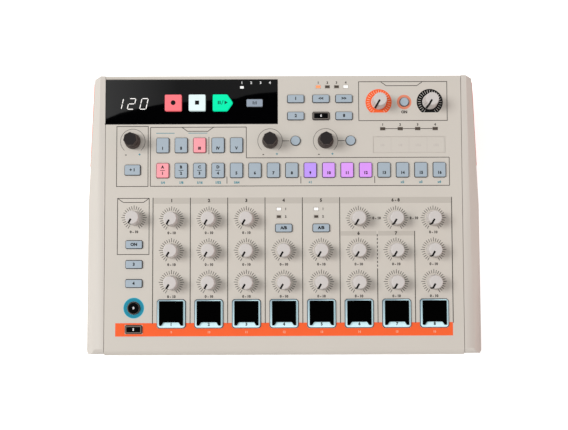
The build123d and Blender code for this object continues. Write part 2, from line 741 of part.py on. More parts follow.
# ---------------------------------------------------------------- control board and lamps
with BuildPart() as control_board:
    with BuildSketch(BOARD_TOP):
        with Locations((0, (BOARD_FRONT_V + BOARD_REAR_V) / 2)):
            Rectangle(2 * (PANEL_HALF_W - BOARD_SIDE_GAP), BOARD_REAR_V - BOARD_FRONT_V)
    extrude(amount=-BOARD_T)
    with BuildSketch(BOARD_TOP):
        with Locations(*SHAFT_PLACES):
            Rectangle(POT_W, POT_L)
    extrude(amount=POT_H)
    with BuildSketch(BOARD_TOP):
        with Locations(*[button[:2] for button in BUTTONS]):
            Rectangle(SWITCH_W, SWITCH_W)
    extrude(amount=SWITCH_H)
    with BuildSketch(BOARD_TOP):
        with Locations(*PADS.values()):
            Rectangle(PAD_SENSOR_W, PAD_SENSOR_W)
    extrude(amount=PAD_SENSOR_H)
finish(control_board.part, "control_board")

with BuildPart() as indicator_leds:
    with BuildSketch(BOARD_TOP):
        with Locations(*PANEL_LEDS):
            Rectangle(*LED_SIZE)
    extrude(amount=BOARD_DROP + LED_PROUD)
    with BuildSketch(BOARD_TOP):
        with Locations(*WINDOW_LEDS):
            Rectangle(*LED_SIZE)
        with Locations((DIGITS_U, DIGITS_V)):
            Rectangle(DIGITS_W, DIGITS_L)
    extrude(amount=BOARD_DROP + WINDOW_PROUD - WINDOW_T - UNDER_WINDOW_GAP)
finish(indicator_leds.part, "indicator_leds")

# ---------------------------------------------------------------- jack board and sockets
POWER_STEM_END = CASE_WALL + RETAIN_GAP + POWER_FLANGE + POWER_STEM_LEN

with BuildPart() as jack_board:
    with BuildSketch(Plane.XY.offset(JACK_BOARD_TOP)):
        with Locations((0, JACK_BOARD_MID_Y)):
            Rectangle(2 * (PANEL_HALF_W - JACK_BOARD_SIDE_GAP), JACK_BOARD_L)
    extrude(amount=-BOARD_T)
    with BuildSketch(REAR.offset(-POWER_STEM_END - POWER_TRAVEL - STEM_CLEAR)):
        with Locations((-POWER_X, -SOCKET_DROP)):
            Rectangle(
                POWER_SWITCH_W,
                SOCKET_DROP + POWER_SWITCH_W / 2,
                align=(Align.CENTER, Align.MIN),
            )
    extrude(amount=-POWER_SWITCH_DEEP)
finish(jack_board.part, "jack_board")

with BuildPart() as power_button:
    with BuildSketch(REAR.offset(-POWER_SHY)):
        with Locations(*rear_spots(POWER_X)):
            Rectangle(POWER_W, POWER_L)
    extrude(amount=-(CASE_WALL - POWER_SHY + RETAIN_GAP))
    with BuildSketch(REAR.offset(-CASE_WALL - RETAIN_GAP)):
        with Locations(*rear_spots(POWER_X)):
            Rectangle(POWER_W + 2 * POWER_FLANGE, POWER_L + 2 * POWER_FLANGE)
    extrude(amount=-POWER_FLANGE)
    with BuildSketch(REAR.offset(-POWER_STEM_END)):
        with Locations(*rear_spots(POWER_X)):
            Rectangle(POWER_STEM_W, POWER_STEM_W)
    extrude(amount=POWER_STEM_LEN)
finish(power_button.part, "power_button")


def socket_bodies(places, width, height_over_axis, deep):
    """Socket housings that stand on the jack board behind the rear wall."""
    with BuildPart() as bodies:
        with BuildSketch(SOCKET_FACE):
            with Locations(*[(-x, -SOCKET_DROP) for x in places]):
                Rectangle(
                    width, SOCKET_DROP + height_over_axis, align=(Align.CENTER, Align.MIN)
                )
        extrude(amount=-deep)
    return bodies.part


def round_jacks(places, bore_r, collar_r, width, deep):
    """Jacks with a round collar through the rear wall and a blind bore."""
    with BuildPart() as jacks:
        add(socket_bodies(places, width, width / 2, deep))
        with BuildSketch(SOCKET_FACE):
            with Locations(*rear_spots(*places)):
                large_round(collar_r)
        extrude(amount=COLLAR_LEN)
        with BuildSketch(COLLAR_FACE):
            with Locations(*rear_spots(*places)):
                Circle(bore_r)
        extrude(amount=-(COLLAR_LEN + deep - JACK_BACK), mode=Mode.SUBTRACT)
    return jacks.part


finish(
    round_jacks(
        LARGE_JACK_X, LARGE_JACK_R, LARGE_JACK_COLLAR_R, LARGE_JACK_W, LARGE_JACK_DEEP
    ),
    "large_jacks",
)
finish(
    round_jacks(
        SMALL_JACK_X, SMALL_JACK_R, SMALL_JACK_COLLAR_R, SMALL_JACK_W, SMALL_JACK_DEEP
    ),
    "small_jacks",
)

with BuildPart() as midi_sockets:
    add(socket_bodies(MIDI_X, MIDI_BODY_W, SOCKET_DROP, MIDI_DEEP))
    with BuildSketch(SOCKET_FACE):
        with Locations(*rear_spots(*MIDI_X)):
            large_round(MIDI_COLLAR_R)
    extrude(amount=COLLAR_LEN)
    with BuildSketch(COLLAR_FACE):
        with Locations(*rear_spots(*MIDI_X)):
            large_round(MIDI_SLOT_R)
            large_round(MIDI_SLOT_R - MIDI_SLOT_W, mode=Mode.SUBTRACT)
    extrude(amount=-MIDI_SLOT_DEEP, mode=Mode.SUBTRACT)
finish(midi_sockets.part, "midi_sockets")

with BuildPart() as usb_socket:
    add(socket_bodies([USB_X], USB_W, 0, USB_DEEP))
    with BuildSketch(COLLAR_FACE):
        with Locations(*rear_spots(USB_X)):
            usb_outline(USB_W, USB_L)
    extrude(amount=-(COLLAR_LEN + USB_DEEP))
    with BuildSketch(COLLAR_FACE):
        with Locations(*rear_spots(USB_X)):
            usb_outline(USB_W - 2 * USB_WALL, USB_L - 2 * USB_WALL)
            Rectangle(USB_TONGUE_W, USB_TONGUE_H, mode=Mode.SUBTRACT)
    extrude(amount=-USB_MOUTH_DEEP, mode=Mode.SUBTRACT)
finish(usb_socket.part, "usb_socket")

with BuildPart() as dc_socket:
    add(socket_bodies([DC_X], DC_W, DC_W / 2, DC_DEEP))
    with BuildSketch(SOCKET_FACE):
        with Locations(*rear_spots(DC_X)):
            Rectangle(DC_W, DC_W)
    extrude(amount=COLLAR_LEN)
    with BuildSketch(COLLAR_FACE):
        with Locations(*rear_spots(DC_X)):
            large_round(DC_BORE_R)
            large_round(DC_PIN_R, mode=Mode.SUBTRACT)
    extrude(amount=-DC_BORE_DEEP, mode=Mode.SUBTRACT)
finish(dc_socket.part, "dc_socket")


# ---------------------------------------------------------------- keys
def keys(buttons):
    """Key caps with a cut upper edge, a flange under the panel and a stem to the switch."""
    with BuildPart() as caps:
        with BuildSketch(PANEL.offset(FLANGE_N)):
            button_outlines(buttons, BUTTON_GAP)
        extrude(amount=BUTTON_PROUD - BUTTON_EDGE - FLANGE_N)
        with BuildSketch(PANEL.offset(BUTTON_PROUD - BUTTON_EDGE)):
            button_outlines(buttons, BUTTON_GAP)
        extrude(amount=BUTTON_EDGE, taper=45)
        with BuildSketch(PANEL.offset(FLANGE_N)):
            button_outlines(buttons, -BUTTON_FLANGE)
        extrude(amount=-BUTTON_FLANGE_T)
        with BuildSketch(PANEL.offset(STEM_END_N)):
            with Locations(*[button[:2] for button in buttons]):
                Rectangle(STEM_W, STEM_W)
        extrude(amount=FLANGE_N - BUTTON_FLANGE_T - STEM_END_N)
    return caps.part


finish(keys(STEP_BUTTONS), "step_buttons")
finish(keys(MODE_BUTTONS), "mode_buttons")
finish(keys(FUNCTION_BUTTONS), "function_buttons")
finish(keys([RECORD]), "record_button")
finish(keys([STOP]), "stop_button")
finish(keys([PLAY]), "play_button")

# ---------------------------------------------------------------- pads
for label, place in PADS.items():
    with BuildPart() as pad:
        with BuildSketch(seat(place, FLANGE_N)):
            pad_outline(PAD_HOLE - 2 * PAD_GAP, PAD_HOLE - 2 * PAD_GAP)
        extrude(amount=PAD_PROUD - FLANGE_N)
        with BuildSketch(seat(place, FLANGE_N)):
            pad_outline(PAD_HOLE + 2 * PAD_FLANGE, PAD_HOLE + 2 * PAD_FLANGE)
        extrude(amount=-BUTTON_FLANGE_T)
        with BuildSketch(seat(place, PAD_FOOT_N)):
            Rectangle(PAD_FOOT_W, PAD_FOOT_W)
        extrude(amount=FLANGE_N - BUTTON_FLANGE_T - PAD_FOOT_N)
        with BuildSketch(seat(place, PAD_PROUD)):
            pad_outline(PAD_TOP_W, PAD_TOP_L)
        extrude(amount=PAD_TOP_PROUD - PAD_PROUD - BUTTON_EDGE)
        with BuildSketch(seat(place, PAD_TOP_PROUD - BUTTON_EDGE)):
            pad_outline(PAD_TOP_W, PAD_TOP_L)
        extrude(amount=BUTTON_EDGE, taper=45)
        with BuildSketch(seat(place, PAD_PROUD)):
            with Locations((0, -PAD_TOP_L / 2)):
                Polygon(
                    (-PAD_NOTCH_FRONT / 2, 0),
                    (PAD_NOTCH_FRONT / 2, 0),
                    (PAD_NOTCH_REAR / 2, PAD_NOTCH_L),
                    (-PAD_NOTCH_REAR / 2, PAD_NOTCH_L),
                    align=None,
                )
        extrude(amount=PAD_TOP_PROUD - PAD_PROUD + PAST, mode=Mode.SUBTRACT)
    finish(pad.part, label)


# ---------------------------------------------------------------- knobs
def shaft(place):
    """The shaft that carries a knob down through the panel."""
    with BuildPart() as rod:
        with BuildSketch(seat(place, SHAFT_END_N)):
            small_round(SHAFT_D / 2)
        extrude(amount=KNOB_GAP - SHAFT_END_N)
    return rod.part


def draft(base_d, top_d, side_count, height):
    """The taper in degrees that takes a regular outline from one size to another."""
    return degrees(atan2((base_d - top_d) / 2 * cos(pi / side_count), height))


def pointer_groove(place, top_n, radius):
    """A shallow groove in a knob's top, from near its centre out to its rim."""
    with BuildPart() as groove:
        with BuildSketch(seat(place, top_n - POINTER_DEEP)):
            with Locations(Rotation(0, 0, POINTER_DEG)):
                with Locations((POINTER_START, 0)):
                    Rectangle(radius, POINTER_W, align=(Align.MIN, Align.CENTER))
        extrude(amount=POINTER_DEEP + PAST)
    return groove.part


def fluted_outline(diameter):
    """A dial's outline: a round bitten by evenly spaced flutes with flat floors."""
    RegularPolygon(diameter / 2, 2 * DIAL_FLUTE_COUNT)
    with PolarLocations(diameter / 2 + FLUTE_R - FLUTE_BITE, DIAL_FLUTE_COUNT):
        RegularPolygon(
            FLUTE_R,
            FLUTE_SIDE_COUNT,
            major_radius=False,
            rotation=180 / FLUTE_SIDE_COUNT,
            mode=Mode.SUBTRACT,
        )


for label, place in SMALL_KNOBS.items():
    with BuildPart() as small_knob:
        with BuildSketch(seat(place, KNOB_GAP)):
            RegularPolygon(KNOB_BASE_D / 2, KNOB_FLAT_COUNT)
        extrude(
            amount=KNOB_H - KNOB_EDGE - KNOB_GAP,
            taper=draft(KNOB_BASE_D, KNOB_TOP_D, KNOB_FLAT_COUNT, KNOB_H - KNOB_EDGE - KNOB_GAP),
        )
        with BuildSketch(seat(place, KNOB_H - KNOB_EDGE)):
            RegularPolygon(KNOB_TOP_D / 2, KNOB_FLAT_COUNT)
        extrude(amount=KNOB_EDGE, taper=45)
        add(shaft(place))
        add(pointer_groove(place, KNOB_H, KNOB_TOP_D / 2), mode=Mode.SUBTRACT)
    finish(small_knob.part, label)

for label, place in DIALS.items():
    with BuildPart() as dial:
        with BuildSketch(seat(place, KNOB_GAP)):
            RegularPolygon(DIAL_BASE_D / 2, 2 * DIAL_FLUTE_COUNT)
        extrude(amount=DIAL_SKIRT - KNOB_GAP)
        with BuildSketch(seat(place, DIAL_SKIRT)):
            fluted_outline(DIAL_BASE_D)
        with BuildSketch(seat(place, DIAL_H)):
            fluted_outline(DIAL_TOP_D)
        loft(ruled=True)
        add(shaft(place))
        add(pointer_groove(place, DIAL_H, DIAL_TOP_D / 2), mode=Mode.SUBTRACT)
    finish(dial.part, label)

for label, place in ENCODERS.items():
    with BuildPart() as encoder:
        with BuildSketch(seat(place, KNOB_GAP)):
            large_round(ENCODER_BASE_D / 2)
        extrude(
            amount=ENCODER_WAIST_H - KNOB_GAP,
            taper=draft(
                ENCODER_BASE_D, ENCODER_WAIST_D, LARGE_ROUND_SIDE_COUNT, ENCODER_WAIST_H - KNOB_GAP
            ),
        )
        with BuildSketch(seat(place, ENCODER_WAIST_H)):
            RegularPolygon(ENCODER_WAIST_D / 2, ENCODER_FLAT_COUNT)
        extrude(
            amount=ENCODER_H - ENCODER_WAIST_H,
            taper=draft(
                ENCODER_WAIST_D, ENCODER_TOP_D, ENCODER_FLAT_COUNT, ENCODER_H - ENCODER_WAIST_H
            ),
        )
        add(shaft(place))
    finish(encoder.part, label)
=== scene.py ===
# %% [markdown]
# # Dressing a desktop drum machine
# The machine arrives as a fixed frame of solids in their real size and place. This lesson
# gives it its looks: the printed panel, the moulded knobs and keys, the lit pads and the
# dark display. We work in millimetres on the sloped panel and let one matrix carry every
# piece to its place, so that each size below can be read off a ruler.

# %% Load the frame
import json
import math
from functools import partial

import bmesh
import bpy
from mathutils import Matrix, Vector

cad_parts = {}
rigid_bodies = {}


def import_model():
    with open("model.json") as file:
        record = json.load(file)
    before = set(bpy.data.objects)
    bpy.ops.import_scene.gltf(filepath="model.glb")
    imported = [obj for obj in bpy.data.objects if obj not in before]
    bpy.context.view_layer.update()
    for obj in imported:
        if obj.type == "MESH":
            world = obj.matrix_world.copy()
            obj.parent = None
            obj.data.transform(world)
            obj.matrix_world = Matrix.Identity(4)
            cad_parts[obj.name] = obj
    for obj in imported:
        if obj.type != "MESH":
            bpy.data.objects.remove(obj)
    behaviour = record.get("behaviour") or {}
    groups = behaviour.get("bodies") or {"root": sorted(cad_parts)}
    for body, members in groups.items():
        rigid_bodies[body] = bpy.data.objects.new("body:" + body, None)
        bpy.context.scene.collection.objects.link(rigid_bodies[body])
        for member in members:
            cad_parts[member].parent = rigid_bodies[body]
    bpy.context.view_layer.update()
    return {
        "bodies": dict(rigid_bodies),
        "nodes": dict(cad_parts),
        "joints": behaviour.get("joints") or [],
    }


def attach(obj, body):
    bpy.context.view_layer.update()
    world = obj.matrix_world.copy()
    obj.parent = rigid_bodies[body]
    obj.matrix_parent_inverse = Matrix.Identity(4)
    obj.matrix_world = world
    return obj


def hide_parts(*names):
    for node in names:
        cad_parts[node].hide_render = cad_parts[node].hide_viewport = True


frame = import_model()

MM = 0.001

# %% [markdown]
# The panel slopes towards the player. Every knob turns on an axis square to it, so one
# knob's joint tells us both the slope and the height of the panel. `PANEL` is the matrix
# from panel millimetres (u to the right, v up the slope, n off the surface) to the frame.

# %% The panel's own coordinates
joints = {joint["name"]: joint for joint in frame["joints"]}
first_joint = joints["metronome_knob_turn"]
SLOPE = math.asin(first_joint["axis"][1])
PANEL_HEIGHT = first_joint["pos_m"][2] - first_joint["pos_m"][1] * math.tan(SLOPE)
PANEL = (
    Matrix.Translation((0, 0, PANEL_HEIGHT))
    @ Matrix.Rotation(SLOPE, 4, "X")
    @ Matrix.Scale(MM, 4)
)
print(f"slope {math.degrees(SLOPE):.2f} degrees, middle height {PANEL_HEIGHT / MM:.1f} mm")


def joint_place(node):
    """Where a turning control stands on the panel, in millimetres."""
    place = PANEL.inverted() @ Vector(joints[f"{node}_turn"]["pos_m"])
    return place.x, place.y


# %% [markdown]
# ## Finishes
# Blender's materials are graphs of nodes. Wiring them by hand is wordy, so a small class
# wraps a socket and lets us write sums in Python: `1 - mask * 0.4` adds the Math nodes.
# Colours are written as they look on screen, from 0 to 255, and turned to linear light.


# %% Sums on sockets
def shade(colour, factor=1.0):
    """A colour in the linear values that shaders use, made lighter or darker."""
    shares = [channel / 255 for channel in colour]
    linear = [c / 12.92 if c <= 0.04045 else ((c + 0.055) / 1.055) ** 2.4 for c in shares]
    return (*(min(channel * factor, 1.0) for channel in linear), 1.0)


class Value:
    """An output socket that takes part in Python sums."""

    def __init__(self, graph, socket):
        self.graph, self.socket = graph, socket

    def sum(self, operation, first, second):
        return self.graph.node("Math", {"operation": operation}, {0: first, 1: second})

    def __add__(self, other):
        return self.sum("ADD", self, other)

    def __sub__(self, other):
        return self.sum("SUBTRACT", self, other)

    def __rsub__(self, other):
        return self.sum("SUBTRACT", other, self)

    def __mul__(self, other):
        return self.sum("MULTIPLY", self, other)

    __radd__, __rmul__ = __add__, __mul__


class Graph:
    """A tree of nodes that feeds one last node."""

    def __init__(self, tree, last):
        self.tree, self.last = tree, tree.nodes[last]

    def put(self, socket, value):
        if isinstance(value, Value):
            self.tree.links.new(value.socket, socket)
        else:
            socket.default_value = value

    def feed(self, socket, value):
        self.put(self.last.inputs[socket], value)

    def node(self, kind, settings, inputs, output=0):
        """Add a node: its settings first, then the values or links of its sockets."""
        made = self.tree.nodes.new("ShaderNode" + kind)
        for key, value in settings.items():
            setattr(made, key, value)
        for key, value in inputs.items():
            self.put(made.inputs[key], value)
        return Value(self, made.outputs[output])

    def seen_by(self, *rays):
        """1 for a ray of one of these kinds, otherwise 0."""
        first, *others = (self.node("LightPath", {}, {}, f"Is {ray} Ray") for ray in rays)
        for other in others:
            first = first.sum("MAXIMUM", first, other)
        return first


class Shader(Graph):
    """One material, built round Blender's Principled surface."""

    def __init__(self, name, **constants):
        self.material = bpy.data.materials.new(name)
        self.material.use_nodes = True
        super().__init__(self.material.node_tree, "Principled BSDF")
        self.coordinates = None
        for socket, value in constants.items():
            self.feed(socket.replace("_", " "), value)

    def place(self):
        """Object coordinates, in metres, fixed to the piece."""
        if self.coordinates is None:
            self.coordinates = self.node("TexCoord", {}, {}, "Object")
        return self.coordinates

    def coordinate(self, axis):
        return self.node("SeparateXYZ", {}, {"Vector": self.place()}, axis)

    def clamped(self, value, factor):
        """A value times a factor, kept between 0 and 1."""
        settings = {"operation": "MULTIPLY", "use_clamp": True}
        return self.node("Math", settings, {0: value, 1: factor})

    def along(self, axis, start, end):
        """A ramp from 0 at one coordinate, in metres, to 1 at another."""
        return self.clamped(self.coordinate(axis) - start, 1 / (end - start))

    def repeat(self, axis, start, pitch):
        """A ramp from 0 to 1 that starts again at every pitch, in metres."""
        turns = (self.coordinate(axis) - start) * (1 / pitch)
        return self.node("Math", {"operation": "FRACT"}, {0: turns})

    def noise(self, size_mm, detail=2.0, roughness=0.5):
        """Cloudy noise whose blobs are about size_mm across."""
        wanted = {"Vector": self.place(), "Scale": 1 / (size_mm * MM)}
        wanted.update({"Detail": detail, "Roughness": roughness})
        return self.node("TexNoise", {}, wanted)

    def mix(self, mask, first, second):
        """A colour that goes from first to second as mask goes from 0 to 1."""
        return self.node("Mix", {"data_type": "RGBA"}, {0: mask, 6: first, 7: second}, 2)

    def bump(self, height, depth_mm):
        """Tilt the surface as if height, from 0 to 1, stood depth_mm proud."""
        settings = {"Height": height, "Distance": depth_mm * MM, "Strength": 1.0}
        self.feed("Normal", self.node("Bump", {}, settings, "Normal"))


# %% [markdown]
# Moulded plastic is never one flat colour. Its spark-eroded mould leaves a fine grain, the
# pigment clouds a little, and handling polishes it unevenly. `moulded` adds the three at
# their real scale: clouds of a few centimetres, grain of a few tenths of a millimetre.
# The numbers after a moulded finish's colour are its roughness, its grain's depth in
# millimetres and how far its pigment varies.

# %% Moulded and printed finishes
GRAIN, TOOTH, LAMP_CLOUD, CLOUD = 0.35, 0.25, 9.0, 40.0
TOOTH_DEPTH, NET_MOST = 0.006, 0.68
DULL = {"Specular_IOR_Level": 0.1}
# The pad frames' painted light, in metres: its ramp from rear to front, its cycle across the pads,
# and where in each pad its painted highlight starts and how fast it rises.
PAINTED_LIGHT_REACH, PAINTED_LIGHT_CYCLE = (-0.068, -0.091), (-0.105, 0.030)
HIGHLIGHT_FROM, HIGHLIGHT_RISE = 0.4, 3.5
BLACK, WHITE = (0, 0, 0), (255, 255, 255)


def moulded(name, colour, roughness, grain_depth=0.012, variation=0.035, **constants):
    """Satin moulded plastic with clouded pigment and a fine eroded grain."""
    shader = Shader(name, **constants)
    cloud, grain = shader.noise(CLOUD, 3.0), shader.noise(GRAIN, 2.0, 0.6)
    mask = cloud * 0.75 + grain * 0.25
    light, dark = shade(colour, 1 + variation), shade(colour, 1 - variation)
    shader.feed("Base Color", shader.mix(mask, dark, light))
    shader.feed("Roughness", cloud * 0.10 + grain * 0.06 + (roughness - 0.08))
    shader.bump(grain, grain_depth)
    return shader.material


def ink(name, colour, roughness=0.55, **constants):
    """Screen-printed ink, thin enough to show the grain of what it is printed on."""
    shader = Shader(name, **constants)
    tooth = shader.noise(TOOTH, 2.0, 0.7)
    shader.feed("Base Color", shader.mix(tooth, shade(colour, 1.06), shade(colour, 0.94)))
    shader.feed("Roughness", tooth * 0.12 + (roughness - 0.06))
    shader.bump(tooth, TOOTH_DEPTH)
    return shader.material


def lit(name, colour, glow, strength, roughness=0.35, **constants):
    """Milky plastic or bright ink that glows, most in the middle of its clouds."""
    shader = Shader(name, Emission_Strength=strength, **constants)
    cloud = shader.noise(LAMP_CLOUD, 1.0)
    shader.feed("Base Color", shader.mix(cloud, shade(colour, 0.94), shade(colour)))
    shader.feed("Emission Color", shader.mix(cloud, shade(glow, 0.86), shade(glow)))
    shader.feed("Roughness", cloud * 0.08 + roughness)
    return shader.material


def milky(name, dim, colour, glow, strength):
    """The pads' silicone frames, with painted light: lighter and glowing towards the front and the
    right of each pad.
    """
    shader = Shader(name, Emission_Strength=strength)
    # Painted light: a highlight over the right of each pad and a ramp towards the front, in colour
    # and glow.
    right = shader.clamped(shader.repeat("X", *PAINTED_LIGHT_CYCLE) - HIGHLIGHT_FROM, HIGHLIGHT_RISE)
    near = right.sum("MAXIMUM", shader.along("Y", *PAINTED_LIGHT_REACH), right)
    shader.feed("Base Color", shader.mix(near, shade(dim), shade(colour)))
    shader.feed("Emission Color", shader.mix(near, shade(glow, 0.2), shade(glow)))
    shader.feed("Roughness", shader.noise(LAMP_CLOUD, 1.0) * 0.08 + 0.35)
    return shader.material


def polished(name, colour, roughness):
    """Clear plastic, moulded in a polished tool: only a faint haze breaks its gloss."""
    shader = Shader(name)
    haze = shader.noise(CLOUD, 3.0)
    shader.feed("Base Color", shader.mix(haze, shade(colour, 0.7), shade(colour, 1.3)))
    shader.feed("Roughness", haze * 0.01 + roughness)
    return shader.material


def graded_net(name, colour, clear, thick):
    """A black net over the table, clear at one x (in metres) and thicker towards another."""
    shader = Shader(name, Specular_IOR_Level=0.0)
    shader.feed("Base Color", shader.mix(shader.noise(1.0, 1.0), shade(BLACK), shade(colour)))
    shader.feed("Alpha", shader.along("X", clear, thick) * NET_MOST)
    return shader.material


def table_top(name, colour, lift):
    """A white table: what looks at it sees it lifted to white, and it keeps its shadows."""
    shader = Shader(name, Emission_Strength=lift)
    cloud = shader.noise(CLOUD * 6, 2.0)
    seen = shader.mix(shader.seen_by("Camera", "Glossy"), shade(BLACK), shade(WHITE))
    shader.feed("Base Color", shader.mix(cloud, shade(colour, 0.98), shade(colour)))
    shader.feed("Roughness", cloud * 0.05 + 0.85)
    shader.feed("Emission Color", seen)
    return shader.material


PANEL_PLASTIC = moulded("panel_plastic", (214, 207, 197), 0.52)
CHEEK_PLASTIC = moulded("cheek_plastic", (214, 207, 198), 0.50)
CASE_PLASTIC = moulded("case_plastic", (186, 180, 171), 0.58, 0.02)
TRIM_PLASTIC = moulded("trim_plastic", (240, 92, 46), 0.5, **DULL)
KNOB_PLASTIC = moulded("knob_plastic", (213, 207, 203), 0.5, 0.008)
ENCODER_RUBBER = moulded("encoder_rubber", (42, 38, 38), 0.62, 0.02, 0.08, **DULL)
# Waist rubber, also used on the encoder grips' flanks, where its lighter colour is painted light.
WAIST_RUBBER_AND_PAINTED_LIGHT = moulded("waist_rubber_and_painted_light", (80, 72, 68), 0.62, 0.02, 0.08, **DULL)
POINTER_INK = ink("pointer_ink", (16, 14, 14), 0.6, **DULL)
KEY_PLASTIC = moulded("key_plastic", (172, 186, 197), 0.45, 0.004, 0.03)
DIM_PLASTIC = moulded("dim_plastic", (150, 163, 178), 0.45, 0.004, 0.03)
# Key flanks: darker than the caps, painted shade on the eased rims and sides.
KEY_FLANK_PAINTED_SHADE = moulded("key_flank_painted_shade", (136, 144, 152), 0.5, 0.004, 0.05, **DULL)
KEY_RIM = moulded("key_rim", (124, 117, 111), 0.5, 0.004, 0.05, **DULL)
KEY_FOOT = moulded("key_foot", (66, 64, 63), 0.6, 0.01, 0.08, **DULL)
BLACK_KEY = moulded("black_key", (5, 5, 6), 0.7, 0.004, 0.08, Specular_IOR_Level=0.03)
PAD_RUBBER = moulded("pad_rubber", (1, 1, 1), 0.85, 0.004, 0.15, Specular_IOR_Level=0.01)
SOCKET_PLASTIC = moulded("socket_plastic", (34, 34, 35), 0.48, 0.01, 0.08)
FOOT_RUBBER = moulded("foot_rubber", (38, 37, 37), 0.78, 0.03, 0.10)
STRIP_PLASTIC = moulded("strip_plastic", (213, 206, 196), 0.5, 0.006)
WINDOW_GLOSS = polished("window_gloss", (2, 2, 3), 0.015)
STEEL = moulded("steel", (150, 150, 152), 0.35, 0.004, 0.05, Metallic=1.0)
BOARD_GREEN = moulded("board_green", (30, 84, 52), 0.40, 0.004, 0.12)
CARD_BLACK = moulded("card_black", BLACK, 1.0, 0.0, Specular_IOR_Level=0.0)
TABLE_WHITE = table_top("table_white", (252, 252, 252), 0.62)
print("moulded finishes", len(bpy.data.materials))

# %% [markdown]
# Inks and lamps. A lit finish has the colour of its plastic and the colour and strength of
# its glow. The orange ink is given a small glow too, painted light that makes it brighter
# than the light that falls on it, so it is written as a lit finish.

# %% Inks and lamps
DARK_INK = ink("dark_ink", (54, 48, 44), **DULL)
TICK_INK = ink("tick_ink", (24, 20, 18), **DULL)
BLACK_INK = ink("black_ink", (14, 13, 13), **DULL)
BAND_INK = ink("band_ink", (197, 190, 180))
TEAL_INK = ink("teal_ink", (60, 140, 155))
# Painted glow: the orange ink emits a little light of its own.
ORANGE_INK_PAINTED_GLOW = lit("orange_ink_painted_glow", (255, 106, 56), (255, 90, 40), 0.07, 0.55, **DULL)
SALMON_INK = ink("salmon_ink", (238, 140, 108))
PALE_ORANGE_INK = ink("pale_orange_ink", (255, 176, 145))
CREAM_INK = ink("cream_ink", (255, 214, 190))
FAINT_INK = ink("faint_ink", (203, 195, 187))
GREEN_INK = ink("green_ink", (6, 92, 70), **DULL)
WHITE_INK = ink("white_ink", (240, 240, 240))
CHALK_INK = ink("chalk_ink", (208, 203, 196))
RING_INK = ink("ring_ink", (42, 148, 174), **DULL)
PALE_INK = ink("pale_ink", (120, 200, 215))
# Pad frames: painted light, lighter and glowing towards the front and the right of each pad.
PAD_FRAME_PAINTED_LIGHT = milky("pad_frame_painted_light", (168, 194, 205), (210, 236, 242), (190, 245, 255), 0.22)
# Pad flanks: darker than the frames, painted shade on the rims' sides, with a faint glow; also the
# pads' flanges and stems.
PAD_FLANK_PAINTED_SHADE = lit("pad_flank_painted_shade", (98, 122, 138), (130, 165, 180), 0.02)
DARK_LAMP = lit("dark_lamp", (84, 75, 67), (84, 75, 67), 0.0, **DULL)
WHITE_LAMP = lit("white_lamp", (215, 215, 212), WHITE, 0.5)
ORANGE_LAMP = lit("orange_lamp", (240, 150, 100), (255, 130, 70), 0.5)
DIGIT_GLOW = lit("digit_glow", (200, 200, 198), (255, 250, 244), 0.75)
PINK_KEY = lit("pink_key", (190, 130, 136), (251, 150, 160), 0.55)
# Lit keys' flanks: darker and glowing less than their faces, painted shade on the sides.
PINK_FLANK_PAINTED_SHADE = lit("pink_flank_painted_shade", (190, 110, 118), (225, 110, 120), 0.15)
VIOLET_FLANK_PAINTED_SHADE = lit("violet_flank_painted_shade", (140, 108, 170), (170, 110, 220), 0.15)
VIOLET_KEY = lit("violet_key", (150, 125, 190), (190, 140, 255), 0.55)
LILAC_KEY = lit("lilac_key", (165, 125, 190), (220, 150, 255), 0.55)
ORCHID_KEY = lit("orchid_key", (170, 125, 190), (230, 152, 255), 0.55)
PURPLE_KEY = lit("purple_key", (168, 120, 190), (224, 145, 250), 0.55)
RECORD_KEY = lit("record_key", (196, 96, 104), (252, 104, 112), 0.57)
STOP_KEY = lit("stop_key", (200, 214, 214), (228, 250, 250), 0.4)
PLAY_KEY = lit("play_key", (0, 140, 104), (0, 255, 186), 0.74, **DULL)
print("all finishes", len(bpy.data.materials))

# %% [markdown]
# ## Mesh tools
# A piece starts as a bmesh: a plain shape from one of Blender's operators, bevelled as a
# toolmaker would ease an edge. `Piece` gathers many such shapes into one mesh, each with
# its material. A Weighted Normal modifier then keeps the flats flat, so that only the
# eased edges catch the light.

# %% Pieces
SHARP = math.radians(33)
LEVEL = 0.9


def stand(name, shape, *materials):
    """Turn a bmesh into an object of the scene."""
    mesh = bpy.data.meshes.new(name)
    shape.to_mesh(mesh)
    shape.free()
    for material in materials:
        mesh.materials.append(material)
    made = bpy.data.objects.new(name, mesh)
    bpy.context.scene.collection.objects.link(made)
    return made


class Piece:
    """A mesh in the making: shapes are added one by one, each with its material."""

    def __init__(self, name):
        self.name, self.shape, self.materials = name, bmesh.new(), []

    def add(self, part, material, where=None, flank=None):
        """Add a shape; flank is a material for the faces that don't look straight up."""
        for finish in (material, flank or material):
            if finish not in self.materials:
                self.materials.append(finish)
        if where is not None:
            part.transform(where)
        part.normal_update()
        for face in part.faces:
            leans = flank and face.normal.z < LEVEL
            face.material_index = self.materials.index(flank if leans else material)
        carrier = bpy.data.meshes.new("carrier")
        part.to_mesh(carrier)
        part.free()
        self.shape.from_mesh(carrier)
        bpy.data.meshes.remove(carrier)

    def finish(self, body, slot, nodes=(), where=PANEL, film=0.0, sharp=SHARP):
        """Make the object that rides on a body; film gives flat print its thickness."""
        self.shape.transform(where)
        for face in self.shape.faces:
            face.smooth = not film
        made = stand(self.name, self.shape, *self.materials)
        if film:
            thickness = made.modifiers.new("film", "SOLIDIFY")
            thickness.thickness, thickness.offset = film * MM, 1.0
        else:
            made.data.set_sharp_from_angle(angle=sharp)
            flats = made.modifiers.new("flats", "WEIGHTED_NORMAL")
            flats.keep_sharp = True
        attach(made, body)
        if nodes:
            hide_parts(*nodes)
        print(f"{self.name}: {len(made.data.polygons)} faces")


